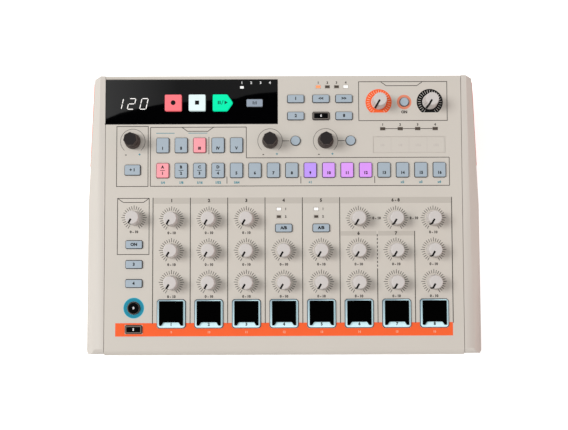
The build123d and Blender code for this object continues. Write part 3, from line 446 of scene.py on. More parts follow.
def spot(u, v, n=0.0, turn=0.0):
    """A place on the panel, turned by so many degrees anticlockwise."""
    return Matrix.Translation((u, v, n)) @ Matrix.Rotation(math.radians(turn), 4, "Z")


# %% [markdown]
# Solid shapes: a block with rounded upright corners, a post that may taper or have few
# sides, and a plate cut to any outline. Each can have its upper rim eased, as moulded
# parts have, which is what catches the light and makes an edge readable.

# %% Solid shapes
CORNER_STEPS, POST_CORNER_STEPS, EDGE_STEPS = 4, 2, 3


def bevel(shape, edges, width, segments):
    bmesh.ops.bevel(
        shape, geom=edges, offset=width, offset_type="OFFSET", segments=segments,
        profile=0.5, affect="EDGES", material=-1,
    )


def eased(shape, high, corner, edge, corner_steps=CORNER_STEPS, edge_steps=EDGE_STEPS):
    """Round a shape's upright corners, then the rim of its top."""
    if corner:
        ends = [(e, *(vert.co for vert in e.verts)) for e in shape.edges]
        uprights = [e for e, start, end in ends if abs((start - end).normalized().z) > LEVEL]
        bevel(shape, uprights, corner, corner_steps)
    if edge:
        rim = [e for e in shape.edges if all(abs(v.co.z - high) < 1e-4 for v in e.verts)]
        bevel(shape, rim, edge, edge_steps)
    return shape


def block(width, length, low, high, corner=0.0, edge=0.0, edge_steps=EDGE_STEPS):
    """A block that stands from low to high."""
    shape = bmesh.new()
    middle = Matrix.Translation((0, 0, (low + high) / 2))
    size = Matrix.Diagonal((width, length, high - low, 1))
    bmesh.ops.create_cube(shape, size=1.0, matrix=middle @ size)
    return eased(shape, high, corner, edge, edge_steps=edge_steps)


def post(base_d, top_d, low, high, sides, edge=0.0, corner=0.0):
    """A round or many-sided post, wider at its foot where base_d is larger."""
    shape = bmesh.new()
    bmesh.ops.create_cone(
        shape, cap_ends=True, segments=sides, radius1=base_d / 2, radius2=top_d / 2,
        depth=high - low, matrix=Matrix.Translation((0, 0, (low + high) / 2)),
    )
    return eased(shape, high, corner, edge, POST_CORNER_STEPS)


def plate(outline, low, high, corner=0.0, edge=0.0):
    """A plate cut to an outline, given anticlockwise."""
    shape = bmesh.new()
    face = shape.faces.new([shape.verts.new((u, v, low)) for u, v in outline])
    made = bmesh.ops.extrude_face_region(shape, geom=[face], use_keep_orig=True)
    risen = [part for part in made["geom"] if isinstance(part, bmesh.types.BMVert)]
    bmesh.ops.translate(shape, verts=risen, vec=(0, 0, high - low))
    bmesh.ops.recalc_face_normals(shape, faces=shape.faces[:])
    return eased(shape, high, corner, edge)


# %% [markdown]
# Print is flat: a stroke, a patch, an arc or a figure of ink. Each is a thin face laid on
# the panel, and a Solidify modifier gives the whole layer a film a few hundredths of a
# millimetre thick. Ground colours get a thinner film than the lines that cross them, so
# the two never fight for the same height.

# %% Flat print
GROUND_FILM, LINE_FILM = 0.02, 0.04


def upward(shape):
    """Turn over any print that faces the wrong way."""
    shape.normal_update()
    bmesh.ops.reverse_faces(shape, faces=[f for f in shape.faces if f.normal.z < 0])
    return shape


def patch(left, right, front, rear):
    """A rectangle of ink."""
    shape = bmesh.new()
    middle = Matrix.Translation(((left + right) / 2, (front + rear) / 2, 0))
    size = Matrix.Diagonal((right - left, rear - front, 1, 1))
    bmesh.ops.create_grid(shape, x_segments=1, y_segments=1, size=0.5, matrix=middle @ size)
    return shape


def bar(width, length):
    """A rectangle of ink round the origin."""
    return patch(-width / 2, width / 2, -length / 2, length / 2)


def sheet(outline):
    """A patch of any outline."""
    shape = bmesh.new()
    shape.faces.new([shape.verts.new((u, v, 0)) for u, v in outline])
    return upward(shape)


def stroke(start, end, width):
    """A straight line of ink."""
    run = Vector(end) - Vector(start)
    middle = (Vector(start) + Vector(end)) / 2
    shape = bar(run.length, width)
    shape.transform(spot(*middle, 0, math.degrees(math.atan2(run.y, run.x))))
    return shape


def path(layer, ink, width, *points):
    """A line of ink through several points."""
    for start, end in zip(points, points[1:]):
        layer.add(stroke(start, end, width), ink)


def box_line(layer, ink, width, left, right, front, rear):
    """A rectangle drawn as a line, its corners closed."""
    half = width / 2
    for v in (front, rear):
        path(layer, ink, width, (left - half, v), (right + half, v))
    for u in (left, right):
        path(layer, ink, width, (u, front), (u, rear))


def arc(inner, outer, start=0.0, sweep=360.0, steps=60):
    """A ring of ink or a part of one: a short edge spun round the centre."""
    shape = bmesh.new()
    ends = [shape.verts.new((radius, 0, 0)) for radius in (inner, outer)]
    edge = shape.edges.new(ends)
    bmesh.ops.rotate(shape, verts=ends, matrix=Matrix.Rotation(math.radians(start), 3, "Z"))
    bmesh.ops.spin(
        shape, geom=ends + [edge], cent=(0, 0, 0), axis=(0, 0, 1), angle=math.radians(sweep),
        steps=steps, use_merge=sweep == 360.0, use_duplicate=False,
    )
    return upward(shape)


def disc(radius, cut=None, sides=72):
    """A disc of ink, with its front cut off straight at a distance from the centre."""
    shape = bmesh.new()
    bmesh.ops.create_circle(shape, cap_ends=True, segments=sides, radius=radius)
    if cut:
        parts = shape.verts[:] + shape.edges[:] + shape.faces[:]
        bmesh.ops.bisect_plane(
            shape, geom=parts, plane_co=(0, -cut, 0), plane_no=(0, -1, 0), clear_outer=True
        )
    return upward(shape)


CAP_RATIO, BOLDER = 1.40, 0.07


def figures(text, height):
    """Plain figures as a flat mesh, a little bolder than the font's, centred on the origin."""
    curve = bpy.data.curves.new("figures", "FONT")
    curve.body, curve.size, curve.resolution_u = text, height * CAP_RATIO, 2
    curve.align_x = curve.align_y = "CENTER"
    curve.offset = height * BOLDER
    carrier = bpy.data.objects.new("figures", curve)
    mesh = bpy.data.meshes.new_from_object(carrier)
    shape = bmesh.new()
    shape.from_mesh(mesh)
    bpy.data.objects.remove(carrier)
    bpy.data.meshes.remove(mesh)
    bpy.data.curves.remove(curve)
    return upward(shape)


def write(layer, marks, n=0.0):
    """Add figures to a layer of print, (text, height, ink, u, v) each, at one height."""
    for text, height, ink, u, v in marks:
        layer.add(figures(text, height), ink, spot(u, v, n))


# %% [markdown]
# ## The case
# The case's mouldings keep the frame's shapes. A copy of each is welded, so that round
# stretches shade smoothly. The coloured trims sit a little deeper in their grooves, so
# that from above they are a thin line along the sides.

# %% The case's mouldings
WELD = 2e-6
CREASE = math.radians(24)
TRIM_SINK = 0.35


def moulding(node, material, slot, body="housing", sink=0.0):
    """A welded copy of one of the frame's solids; sink draws its two halves inwards."""
    copy = Piece(f"{node}_shell")
    copy.shape.from_mesh(frame["nodes"][node].data)
    bmesh.ops.remove_doubles(copy.shape, verts=copy.shape.verts[:], dist=WELD)
    for vert in copy.shape.verts:
        vert.co.x -= math.copysign(sink * MM, vert.co.x)
    for face in copy.shape.faces:
        face.material_index = 0
    copy.materials.append(material)
    copy.finish(body, slot, [node], Matrix(), sharp=CREASE)


for nodes, material, slot in (
    ("top_panel", PANEL_PLASTIC, "panel_plastic"),
    ("cheek_left cheek_right", CHEEK_PLASTIC, "cheek_plastic"),
    ("bottom_case", CASE_PLASTIC, "case_plastic"),
    ("feet", FOOT_RUBBER, "foot_rubber"),
    ("case_screws", STEEL, "screw_steel"),
    ("large_jacks small_jacks midi_sockets dc_socket", SOCKET_PLASTIC, "socket_plastic"),
    ("usb_socket", STEEL, "socket_steel"),
    ("control_board jack_board", BOARD_GREEN, "circuit_board"),
    ("display_window", WINDOW_GLOSS, "window_plastic"),
    ("touch_strip", STRIP_PLASTIC, "strip_plastic"),
):
    for node in nodes.split():
        moulding(node, material, slot)
moulding("power_button", BLACK_KEY, "socket_plastic", body="power_button")
moulding("side_trims", TRIM_PLASTIC, "trim_plastic", sink=TRIM_SINK)

# %% [markdown]
# ## Panel print
# The printed lines set out the machine: a column of controls for each voice, boxes round
# the groups, tick marks round each knob. Positions follow one column pitch, so most of the
# print is a few loops. The ground colours come first.

# %% Columns and bands
COLUMN_PITCH = 30.0
COLUMN_U = [COLUMN_PITCH * (i - 3) for i in range(8)]
EDGE_U = [COLUMN_PITCH * (i - 3.5) for i in range(9)]
LINE_FRONT, HEADER_FRONT, HEADER_REAR = -87.4, 8.4, 13.3
SECOND_FRONT, SECOND_REAR = -17.7, -14.0
BAND_GAP = 0.6

ground = Piece("panel_ground")
for left, right, front, rear in (
    *[(EDGE_U[i], EDGE_U[i + 1], HEADER_FRONT, HEADER_REAR) for i in range(5)],
    (EDGE_U[5], EDGE_U[8], HEADER_FRONT, HEADER_REAR),
    *[(EDGE_U[i], EDGE_U[i + 1], SECOND_FRONT, SECOND_REAR) for i in (5, 6)],
):
    ground.add(patch(left + BAND_GAP, right - BAND_GAP, front, rear), BAND_INK)

# %% [markdown]
# The orange band runs along the foot of the pads. Print stops at the edge of a hole, so the
# band is laid in strips: full width in front of the pads, and between them further back. A
# small triangle fills each cut corner of a pad's hole.

# %% The orange band
ORANGE_LEFT, ORANGE_RIGHT = -134.7, 134.7
ORANGE_FRONT, ORANGE_REAR = -97.55, -86.95
PAD_V, PAD_HOLE, PAD_CUT = -79.7, 23.4, 1.5
LEFT_U, LAST_KEY_V = -120.0, -92.0
KEY_W, KEY_L = 14.2, 7.3


def gaps(centres, width):
    return [(u - width / 2, u + width / 2) for u in centres]


def strips(left, right, holes):
    """The stretches of a line that are left between holes."""
    for low, high in sorted(holes):
        yield left, low
        left = high
    yield left, right


key_rear, key_front = LAST_KEY_V + KEY_L / 2, LAST_KEY_V - KEY_L / 2
pad_gaps, key_gaps = gaps(COLUMN_U, PAD_HOLE), gaps([LEFT_U], KEY_W)
pad_front = PAD_V - PAD_HOLE / 2
for front, rear, holes in (
    (ORANGE_FRONT, key_front, []),
    (key_front, pad_front, key_gaps),
    (pad_front, key_rear, key_gaps + pad_gaps),
    (key_rear, ORANGE_REAR, pad_gaps),
):
    for left, right in strips(ORANGE_LEFT, ORANGE_RIGHT, holes):
        ground.add(patch(left, right, front, rear), ORANGE_INK_PAINTED_GLOW)
for u in COLUMN_U:
    for side in (-1, 1):
        edge_u, cut_v = u + side * PAD_HOLE / 2, pad_front + PAD_CUT
        corner = [(edge_u, pad_front), (edge_u, cut_v), (edge_u - side * PAD_CUT, pad_front)]
        ground.add(sheet(corner), ORANGE_INK_PAINTED_GLOW)

# %% [markdown]
# Round keys and dials stand in printed rings and discs. The two large dials' discs have a
# straight front edge. A black border hides the display window's joint at two sides.

# %% Rings and discs
DIAL_DISC = (10.6, 8.5)
DIAL_PLACES = {name: joint_place(name) for name in ("drive_knob", "volume_knob")}
DIAL_KEY_PLACE, DIAL_KEY_RING = (97.8, 90.4), (3.95, 5.9)
SHIFT_PLACE, SHIFT_RING, SHIFT_HALO = (-120.0, -75.0), (5.35, 8.0), (8.0, 8.4)
WINDOW_EDGE_U, WINDOW_EDGE_V, BORDER = (-144.4, -4.4), (72.75, 109.3), 0.9

for place, ink_of_disc in zip(DIAL_PLACES.values(), (ORANGE_INK_PAINTED_GLOW, BLACK_INK)):
    ground.add(disc(*DIAL_DISC), ink_of_disc, spot(*place))
ground.add(arc(*DIAL_KEY_RING), SALMON_INK, spot(*DIAL_KEY_PLACE))
ground.add(arc(*SHIFT_RING), RING_INK, spot(*SHIFT_PLACE))
ground.add(arc(*SHIFT_HALO), PALE_INK, spot(*SHIFT_PLACE))
ground.add(patch(*WINDOW_EDGE_U, WINDOW_EDGE_V[0], WINDOW_EDGE_V[0] + BORDER), BLACK_INK)
ground.add(patch(WINDOW_EDGE_U[1] - BORDER, WINDOW_EDGE_U[1], *WINDOW_EDGE_V), BLACK_INK)
ground.finish("housing", "panel_plastic", film=GROUND_FILM)

# %% [markdown]
# Now the lines. Column lines run from the headers down to the orange band. Two columns at
# the right share a header, so the line between them starts lower, dashed at first.

# %% Column lines
LINE, COLUMN_LINE = 0.5, 0.62
DASH, DASH_STEP, DASH_FRONT = 1.75, 3.05, -44.0

lines = Piece("panel_lines")
rule = partial(path, lines, DARK_INK, LINE)
for i, u in enumerate(EDGE_U):
    rear = {6: DASH_FRONT, 7: SECOND_REAR}.get(i, HEADER_REAR)
    path(lines, DARK_INK, COLUMN_LINE, (u, LINE_FRONT), (u, rear))
for i in range(int((SECOND_REAR - DASH_FRONT) / DASH_STEP)):
    start = DASH_FRONT + DASH_STEP * (i + 1) - DASH
    path(lines, TICK_INK, COLUMN_LINE, (EDGE_U[6], start), (EDGE_U[6], start + DASH))

# %% [markdown]
# Boxes group the controls. Some have a tab let into their upper line, where a title would
# stand; this machine carries plain figures only, so the tabs stay bare.

# %% Boxes and tabs
DIAL_BOX = (61.0, 132.5, 75.3, 107.1)
TEMPO_BOX = (-134.5, -109.2, 22.5, 71.2)
METRONOME_BOX = (-133.5, -108.1, -32.2, 12.9)
MODES_U, MODES_V = (-107.3, -30.0, 133.6), (22.6, 45.4, 70.4)
TAB_SLOPE, TAB_DROP = 4.6, 3.3


def tab(left, right, rear):
    """A tab that hangs from a box's upper line."""
    foot = rear - TAB_DROP
    rule((left, rear), (left + TAB_SLOPE, foot), (right - TAB_SLOPE, foot), (right, rear))


for box in (DIAL_BOX, TEMPO_BOX, METRONOME_BOX):
    box_line(lines, DARK_INK, LINE, *box)
steps_of_box = ((0, 0), (0, 2), (1, 2), (1, 1), (2, 1), (2, 0), (0, 0))
rule(*[(MODES_U[across], MODES_V[along]) for across, along in steps_of_box])
tab(78.8, 112.8, DIAL_BOX[3])
tab(*METRONOME_BOX[:2], METRONOME_BOX[3])
tab(-82.0, -56.4, MODES_V[2])

# %% [markdown]
# ## Scales
# A small knob turns through 300 degrees. Its scale has 25 ticks, longer at the middle and
# at the clock's quarters. Under it stands the range of its figures, or beside it where a
# band lies close.

# %% Scales round the knobs
TURN, TICKS, POINTER_REST = 300.0, 25, 240.0
TICK_IN, TICK_OUT, TICK_LONG, TICK_W = 6.9, 9.6, 10.2, 0.42
LONG_TICKS = (5, 12, 19)
DIAL_TICK_IN, DIAL_TICK_OUT, DIAL_TICK_W = 7.4, 9.7, 0.3
RANGE_UNDER, RANGE_BESIDE, RANGE_H = (0.0, -11.2), (14.6, 0.2), 2.0
BAND_CLOSE = ("voice_6_upper_knob", "voice_7_upper_knob")
SMALL_KNOBS = [name for name in frame["bodies"] if name.startswith(("voice", "metronome"))]


def scale(u, v, inner, outer, longer, width, ink):
    """Radial ticks over a knob's turn, from where its pointer rests."""
    for i in range(TICKS):
        end = longer if i in LONG_TICKS else outer
        bearing = POINTER_REST - TURN * i / (TICKS - 1)
        lines.add(stroke((inner, 0), (end, 0), width), ink, spot(u, v, 0, bearing))


for name in SMALL_KNOBS:
    u, v = joint_place(name)
    scale(u, v, TICK_IN, TICK_OUT, TICK_LONG, TICK_W, TICK_INK)
    right, up = RANGE_BESIDE if name in BAND_CLOSE else RANGE_UNDER
    write(lines, [("0 - 10", RANGE_H, DARK_INK, u + right, v + up)])
for place, tick_ink in zip(DIAL_PLACES.values(), (CREAM_INK, CHALK_INK)):
    scale(*place, DIAL_TICK_IN, DIAL_TICK_OUT, DIAL_TICK_OUT, DIAL_TICK_W, tick_ink)
print("small knobs", len(SMALL_KNOBS))

# %% [markdown]
# Encoders turn without end, so they have a plain ring, open at the front, and a line that
# ties two of them to their round keys.

# %% Rings round the encoders
ENCODERS = ["tempo_encoder", "swing_encoder", "random_encoder"]
RING_R, RING_OPEN, RING_HALF = 9.9, 84.0, 0.15
ROUND_KEYS_U, ROUND_KEY_GAP = (None, 9.7, 54.2), 4.9
SIGN_RIGHT, SIGN_UP, MINUS_H, PLUS_H = 5.5, -10.8, 2.6, 2.2
for name, key_u in zip(ENCODERS, ROUND_KEYS_U):
    u, v = joint_place(name)
    ring = arc(RING_R - RING_HALF, RING_R + RING_HALF, 270 + RING_OPEN / 2, 360 - RING_OPEN)
    lines.add(ring, DARK_INK, spot(u, v))
    write(lines, [
        ("-", MINUS_H, DARK_INK, u - SIGN_RIGHT, v + SIGN_UP),
        ("+", PLUS_H, TEAL_INK, u + SIGN_RIGHT, v + SIGN_UP),
    ])
    if key_u:
        rule((u + RING_R, v), (key_u - ROUND_KEY_GAP, v))

# %% [markdown]
# Small figures: numbers on the headers, note lengths under the first steps, counts over
# the lamps, and more numbers for the voices on the orange band.

# %% Figures on the panel
STEP_PITCH, STEP_FIRST_U = 14.85, -97.3
STEP_U = [STEP_FIRST_U + STEP_PITCH * i for i in range(16)]
STEP_MARKS = {
    0: "1/4", 1: "1/8", 2: "1/16", 3: "1/32", 4: "1/64", 8: "+1", 13: "x2", 14: "x3", 15: "x4",
}
BEAT_LEDS = [(80.2 + 14.15 * i, 68.7) for i in range(4)]
BANK_LEDS = [(28.3 + 7.43 * i, 103.1) for i in range(4)]
HEADER_V, SECOND_V = (HEADER_FRONT + HEADER_REAR) / 2, (SECOND_FRONT + SECOND_REAR) / 2
TYPE_MARKS_U, TYPE_MARKS_V = (1.6, 31.6), (3.9, -2.2)
STEP_MARK_V, ON_V, VOICE_MARK_V, OVER_LED = 25.4, 82.2, -94.4, 3.3
HEADER_H, ON_H, STEP_MARK_H, LED_MARK_H, VOICE_MARK_H = 2.5, 2.2, 1.9, 1.8, 1.7

write(lines, [
    *[(str(i + 1), HEADER_H, DARK_INK, COLUMN_U[i], HEADER_V) for i in range(5)],
    ("6 - 8", HEADER_H, DARK_INK, COLUMN_U[6], HEADER_V),
    *[(str(i + 1), HEADER_H, DARK_INK, COLUMN_U[i], SECOND_V) for i in (5, 6)],
    *[
        (str(i + 1), LED_MARK_H, DARK_INK, u, v + OVER_LED)
        for row in (BEAT_LEDS, BANK_LEDS) for i, (u, v) in enumerate(row)
    ],
    *[
        (str(i + 1), LED_MARK_H, DARK_INK, u, v)
        for u in TYPE_MARKS_U for i, v in enumerate(TYPE_MARKS_V)
    ],
    ("ON", ON_H, DARK_INK, DIAL_KEY_PLACE[0], ON_V),
    *[(text, STEP_MARK_H, TEAL_INK, STEP_U[i], STEP_MARK_V) for i, text in STEP_MARKS.items()],
    *[
        (str(i + 9), VOICE_MARK_H, PALE_ORANGE_INK, u, VOICE_MARK_V)
        for i, u in enumerate(COLUMN_U)
    ],
])

# %% [markdown]
# A few short lines are left: one that links the four beat lamps, rules that part the step
# keys into fours and the first mode keys from the rest, and two in teal that bracket the
# mode keys.

# %% Short lines
LED_GAP, FOURS_U, FOURS_V = 2.2, (-45.6, 13.9, 73.4), (24.6, 30.2)
MODE_RULE_U, MODE_RULE_V = STEP_U[2] + STEP_PITCH / 2, (48.5, 62.5)
TEAL_V = 65.6
TEAL_LINES = ((STEP_U[0] - 5.4, STEP_U[1] - 5.4), (STEP_U[2] - 9.2, STEP_U[2] + 6.1))
for first, second in zip(BEAT_LEDS, BEAT_LEDS[1:]):
    rule((first[0] + LED_GAP, first[1]), (second[0] - LED_GAP, second[1]))
for u in FOURS_U:
    rule(*((u, v) for v in FOURS_V))
rule(*((MODE_RULE_U, v) for v in MODE_RULE_V))
for ends in TEAL_LINES:
    path(lines, TEAL_INK, LINE, *((u, TEAL_V) for u in ends))
lines.finish("housing", "panel_plastic", film=LINE_FILM)

# %% [markdown]
# ## The touch strip
# Four fields of the panel's own colour, let into it and parted by faint lines.

# %% The touch strip's fields
STRIP_U, STRIP_V, STRIP_N, STRIP_W, STRIP_L = 101.5, 55.7, -0.3, 57.9, 13.0
FIELDS, FIELD_LINE, INSET_U, INSET_V, FIELD_H = 4, 0.15, 0.4, 0.5, 1.9

strip_print = Piece("strip_print")
field = STRIP_W / FIELDS
front, rear = STRIP_V - STRIP_L / 2 + INSET_V, STRIP_V + STRIP_L / 2 - INSET_V
for i in range(FIELDS):
    u = STRIP_U - STRIP_W / 2 + field * (i + 0.5)
    left, right = u - field / 2 + INSET_U, u + field / 2 - INSET_U
    box_line(strip_print, FAINT_INK, FIELD_LINE, left, right, front, rear)
    write(strip_print, [(f"1/{4 * 2 ** i}", FIELD_H, FAINT_INK, u, STRIP_V - INSET_U)])
strip_print.finish("housing", "strip_plastic", where=PANEL @ spot(0, 0, STRIP_N), film=GROUND_FILM)

# %% [markdown]
# ## The display
# A smoked window lies over the number module. The figures are seven lamps each, leaning a
# little to the right, as such modules are made. Small marks stand over its four lamps.

# %% The display's figures
WINDOW_N = 0.1
DIGIT_W, DIGIT_H, DIGIT_LEAN, DIGIT_BAR = 5.1, 8.65, 0.22, 0.62
DIGIT_U, DIGIT_V, DIGIT_PITCH = -132.8, 89.6, 10.0
BARS = {
    "a": ((0, 1), (1, 1)), "b": ((1, 0), (1, 1)), "c": ((1, -1), (1, 0)), "d": ((0, -1), (1, -1)),
    "e": ((0, -1), (0, 0)), "f": ((0, 0), (0, 1)), "g": ((0, 0), (1, 0)),
}
LIT_BARS = {"1": "bc", "2": "abged", "0": "abcdef"}
BAR_GAP = 0.09
WINDOW_LEDS = [(-33.5 + 7.55 * i, 102.8) for i in range(4)]
OVER_WINDOW_LED, WINDOW_MARK_H, WINDOW_LED = 3.7, 1.9, (2.9, 1.9)

display = Piece("display_print")
for i, figure in enumerate("120"):
    here = spot(DIGIT_U + DIGIT_PITCH * i, DIGIT_V)
    for name in LIT_BARS[figure]:
        start, end = (Vector(point) for point in BARS[name])
        start, end = start.lerp(end, BAR_GAP), end.lerp(start, BAR_GAP)
        points = [
            (DIGIT_W * (x - 0.5) + DIGIT_LEAN * y * DIGIT_H / 2, y * DIGIT_H / 2)
            for x, y in (start, end)
        ]
        display.add(stroke(*points, DIGIT_BAR), DIGIT_GLOW, here)
write(display, [
    (str(i + 1), WINDOW_MARK_H, WHITE_INK, u, v + OVER_WINDOW_LED)
    for i, (u, v) in enumerate(WINDOW_LEDS)
])
display.add(bar(*WINDOW_LED), WHITE_LAMP, spot(*WINDOW_LEDS[0]))
display.finish("housing", "window_plastic", where=PANEL @ spot(0, 0, WINDOW_N), film=GROUND_FILM)

# %% [markdown]
# ## Lamps and keys
# Keys and lamps stand where the frame has them. `islands` walks a node's mesh and returns
# the box of each separate solid in panel millimetres, so nothing is placed twice. A lamp
# is a clear lens in a light holder that fills its hole.

# %% Finding the frame's keys
def islands(node, above=0.0):
    """(u, v, width, length, top) of each solid of a node, from what lies above a height."""
    shape = bmesh.new()
    shape.from_mesh(frame["nodes"][node].data)
    bmesh.ops.remove_doubles(shape, verts=shape.verts[:], dist=WELD)
    shape.transform(PANEL.inverted())
    found, left = [], set(shape.verts)
    while left:
        queue, members = [left.pop()], []
        while queue:
            vert = queue.pop()
            members.append(vert.co)
            near = {edge.other_vert(vert) for edge in vert.link_edges} & left
            left -= near
            queue.extend(near)
        shown = [co for co in members if co.z > above]
        low = Vector([min(co[axis] for co in shown) for axis in range(3)])
        high = Vector([max(co[axis] for co in shown) for axis in range(3)])
        middle, size = (low + high) / 2, high - low
        found.append((middle.x, middle.y, size.x, size.y, high.z))
    shape.free()
    return sorted(found, key=lambda box: (round(box[0]), box[1]))


LAMP_FOOT, LENS_PROUD, LENS_DEEP, LENS_CORNER, LENS_EDGE = -9.5, 0.05, 1.0, 0.3, 0.04
TYPE_LENS, BANK_LENS, BEAT_LENS = (3.3, 2.1), (3.7, 2.2), (4.2, 2.4)
TYPE_REAR, BANK_FRONT = 10, 80
LIT_LAMPS = {
    (-34, 103): WHITE_LAMP, (-4, 4): WHITE_LAMP, (26, 4): WHITE_LAMP,
    (28, 103): ORANGE_LAMP, (51, 103): WHITE_LAMP,
}
lamps = Piece("lamps")
for u, v, width, length, top in islands("indicator_leds", LAMP_FOOT):
    finish = LIT_LAMPS.get((round(u), round(v)), DARK_LAMP)
    lens = TYPE_LENS if v < TYPE_REAR else BANK_LENS if v > BANK_FRONT else BEAT_LENS
    here = spot(u, v)
    lamps.add(block(width, length, LAMP_FOOT, top - LENS_PROUD, LENS_CORNER), PANEL_PLASTIC, here)
    lamps.add(block(*lens, top - LENS_DEEP, top, LENS_CORNER, LENS_EDGE), finish, here)
lamps.finish("housing", "lamp_plastic", ["indicator_leds"])

# %% [markdown]
# A keycap is moulded in one with the flange that keeps it in and the stem that works its
# switch. The cap's corners are rounded by a millimetre and its upper rim is eased. Where a
# flank finish is given, it is darker, painted shade on the eased rim and sides, so the cap
# shows as a light face in a thin dark gap.

# %% Keycaps
KEY_TOP, KEY_FLANGE, FLANGE_FOOT = 1.7, -2.5, -3.4
KEY_CORNER, KEY_EDGE, KEY_EASE, FLANGE_W = 0.9, 0.3, 0.3, 1.15
STEM_W, STEM_END = 3.0, -4.9
ROUND_SIDES, ALIKE, KEY_BAR = 60, 0.1, (4.0, 0.4)


def keycap(piece, box, material, outline=None, flank=None):
    """Add one keycap, its flanks perhaps of another finish, with its flange and stem."""
    u, v, width, length, top = box
    width, length = width - KEY_EASE, length - KEY_EASE
    here = spot(u, v)
    if outline:
        cap = plate(outline, KEY_FLANGE, top, KEY_CORNER, KEY_EDGE)
    elif abs(width - length) < ALIKE:
        cap = post(width, width, KEY_FLANGE, top, ROUND_SIDES, KEY_EDGE)
    else:
        cap = block(width, length, KEY_FLANGE, top, KEY_CORNER, KEY_EDGE)
    piece.add(cap, material, here, flank)
    flange_w, flange_l = width + 2 * FLANGE_W, length + 2 * FLANGE_W
    piece.add(block(flange_w, flange_l, FLANGE_FOOT, KEY_FLANGE, KEY_CORNER), KEY_FOOT, here)
    piece.add(block(STEM_W, STEM_W, STEM_END, FLANGE_FOOT), KEY_FOOT, here)


def key_print(name, body, marks, bars=()):
    """Figures on a body's keys, (text, height, ink, u, v) each, and bars at (u, v)."""
    layer = Piece(name)
    write(layer, marks, KEY_TOP)
    for place in bars:
        layer.add(bar(*KEY_BAR), BLACK_INK, spot(*place, KEY_TOP))
    layer.finish(body, "key_plastic", film=GROUND_FILM)


# %% [markdown]
# Sixteen step keys, the first four with a letter over their number, and five mode keys,
# numbered in Roman figures to tell them from the steps. Some are lit: a lamp under the
# milky cap colours the whole key.

# %% Step keys and mode keys
LIT_STEPS = {
    0: (PINK_KEY, PINK_FLANK_PAINTED_SHADE), 8: (VIOLET_KEY, VIOLET_FLANK_PAINTED_SHADE), 9: (LILAC_KEY, VIOLET_FLANK_PAINTED_SHADE),
    10: (ORCHID_KEY, VIOLET_FLANK_PAINTED_SHADE), 11: (PURPLE_KEY, VIOLET_FLANK_PAINTED_SHADE),
}
LIT_MODES = {2: (PINK_KEY, PINK_FLANK_PAINTED_SHADE)}
KEY_FIGURE_H, LETTER_UP, STEP_DOWN, MODE_DOWN = 2.3, 2.6, 2.4, 2.6


def key_row(name, body, lit_keys):
    """Dress a row of keys and return their boxes."""
    row, boxes = Piece(name), islands(body)
    for i, box in enumerate(boxes):
        finish, flank = lit_keys.get(i, (KEY_PLASTIC, KEY_FLANK_PAINTED_SHADE))
        keycap(row, box, finish, flank=flank)
    row.finish(body, "key_plastic", [body])
    return boxes


step_marks = []
step_boxes = key_row("step_keys", "step_buttons", LIT_STEPS)
for i, (u, v, *_) in enumerate(step_boxes):
    if i < 4:
        step_marks.append(("ABCD"[i], KEY_FIGURE_H, BLACK_INK, u, v + LETTER_UP))
    step_marks.append((str(i + 1), KEY_FIGURE_H, BLACK_INK, u, v - STEP_DOWN))
key_print("step_figures", "step_buttons", step_marks, [box[:2] for box in step_boxes[:4]])
mode_boxes = key_row("mode_keys", "mode_buttons", LIT_MODES)
key_print("mode_figures", "mode_buttons", [
    (text, KEY_FIGURE_H, BLACK_INK, box[0], box[1] - MODE_DOWN)
    for text, box in zip(("I", "II", "III", "IV", "V"), mode_boxes)
])

# %% [markdown]
# The function keys: most are grey like the steps, and three are black with pale figures.
# A black key has a grey rim, so its cap is grey and a black inlay stands on it.
# The list of figures runs as `islands` does, from left to right and front to rear.

# %% Function keys
FUNCTION_MARKS = (
    "+ 1", "5", "0", "4", "3", "ON", "1:1", "A/B", "",
    "2", "1", "A/B", "6", "<<", "8", ">>", "", "",
)
BLACK_KEYS, DIM_KEY = (1, 2, 12), 6
PALE_FIGURE, DARK_FIGURE = (1.9, WHITE_INK), (2.4, BLACK_INK)
RIM_OF_BLOCK, RIM_OF_ROUND = 1.05, 0.5
INLAY_PROUD, INLAY_DEEP, INLAY_CORNER, INLAY_EDGE = 0.1, 1.0, 0.5, 0.1
functions = Piece("function_keys")
function_boxes = islands("function_buttons")
for i, box in enumerate(function_boxes):
    if i not in BLACK_KEYS:
        keycap(functions, box, DIM_PLASTIC if i == DIM_KEY else KEY_PLASTIC, flank=KEY_FLANK_PAINTED_SHADE)
        continue
    u, v, width, length, top = box
    # The rim's sides take the dark foot finish: painted shade round the black key.
    keycap(functions, (u, v, width, length, top - INLAY_PROUD), KEY_RIM, flank=KEY_FOOT)
    if abs(width - length) < ALIKE:
        inlay_d = width - 2 * RIM_OF_ROUND
        inlay = post(inlay_d, inlay_d, top - INLAY_DEEP, top, ROUND_SIDES, INLAY_EDGE)
    else:
        sides = (side - 2 * RIM_OF_BLOCK for side in (width, length))
        inlay = block(*sides, top - INLAY_DEEP, top, INLAY_CORNER, INLAY_EDGE)
    functions.add(inlay, BLACK_KEY, spot(u, v))
functions.finish("function_buttons", "key_plastic", ["function_buttons"])
key_print("function_figures", "function_buttons", [
    (text, *(PALE_FIGURE if i in BLACK_KEYS else DARK_FIGURE), *box[:2])
    for i, (text, box) in enumerate(zip(FUNCTION_MARKS, function_boxes)) if text
])

# %% [markdown]
# Record, stop and play. Their caps glow, and their signs are the usual ones: a dot, a
# square, two bars and an arrow. The play key itself ends in a point.

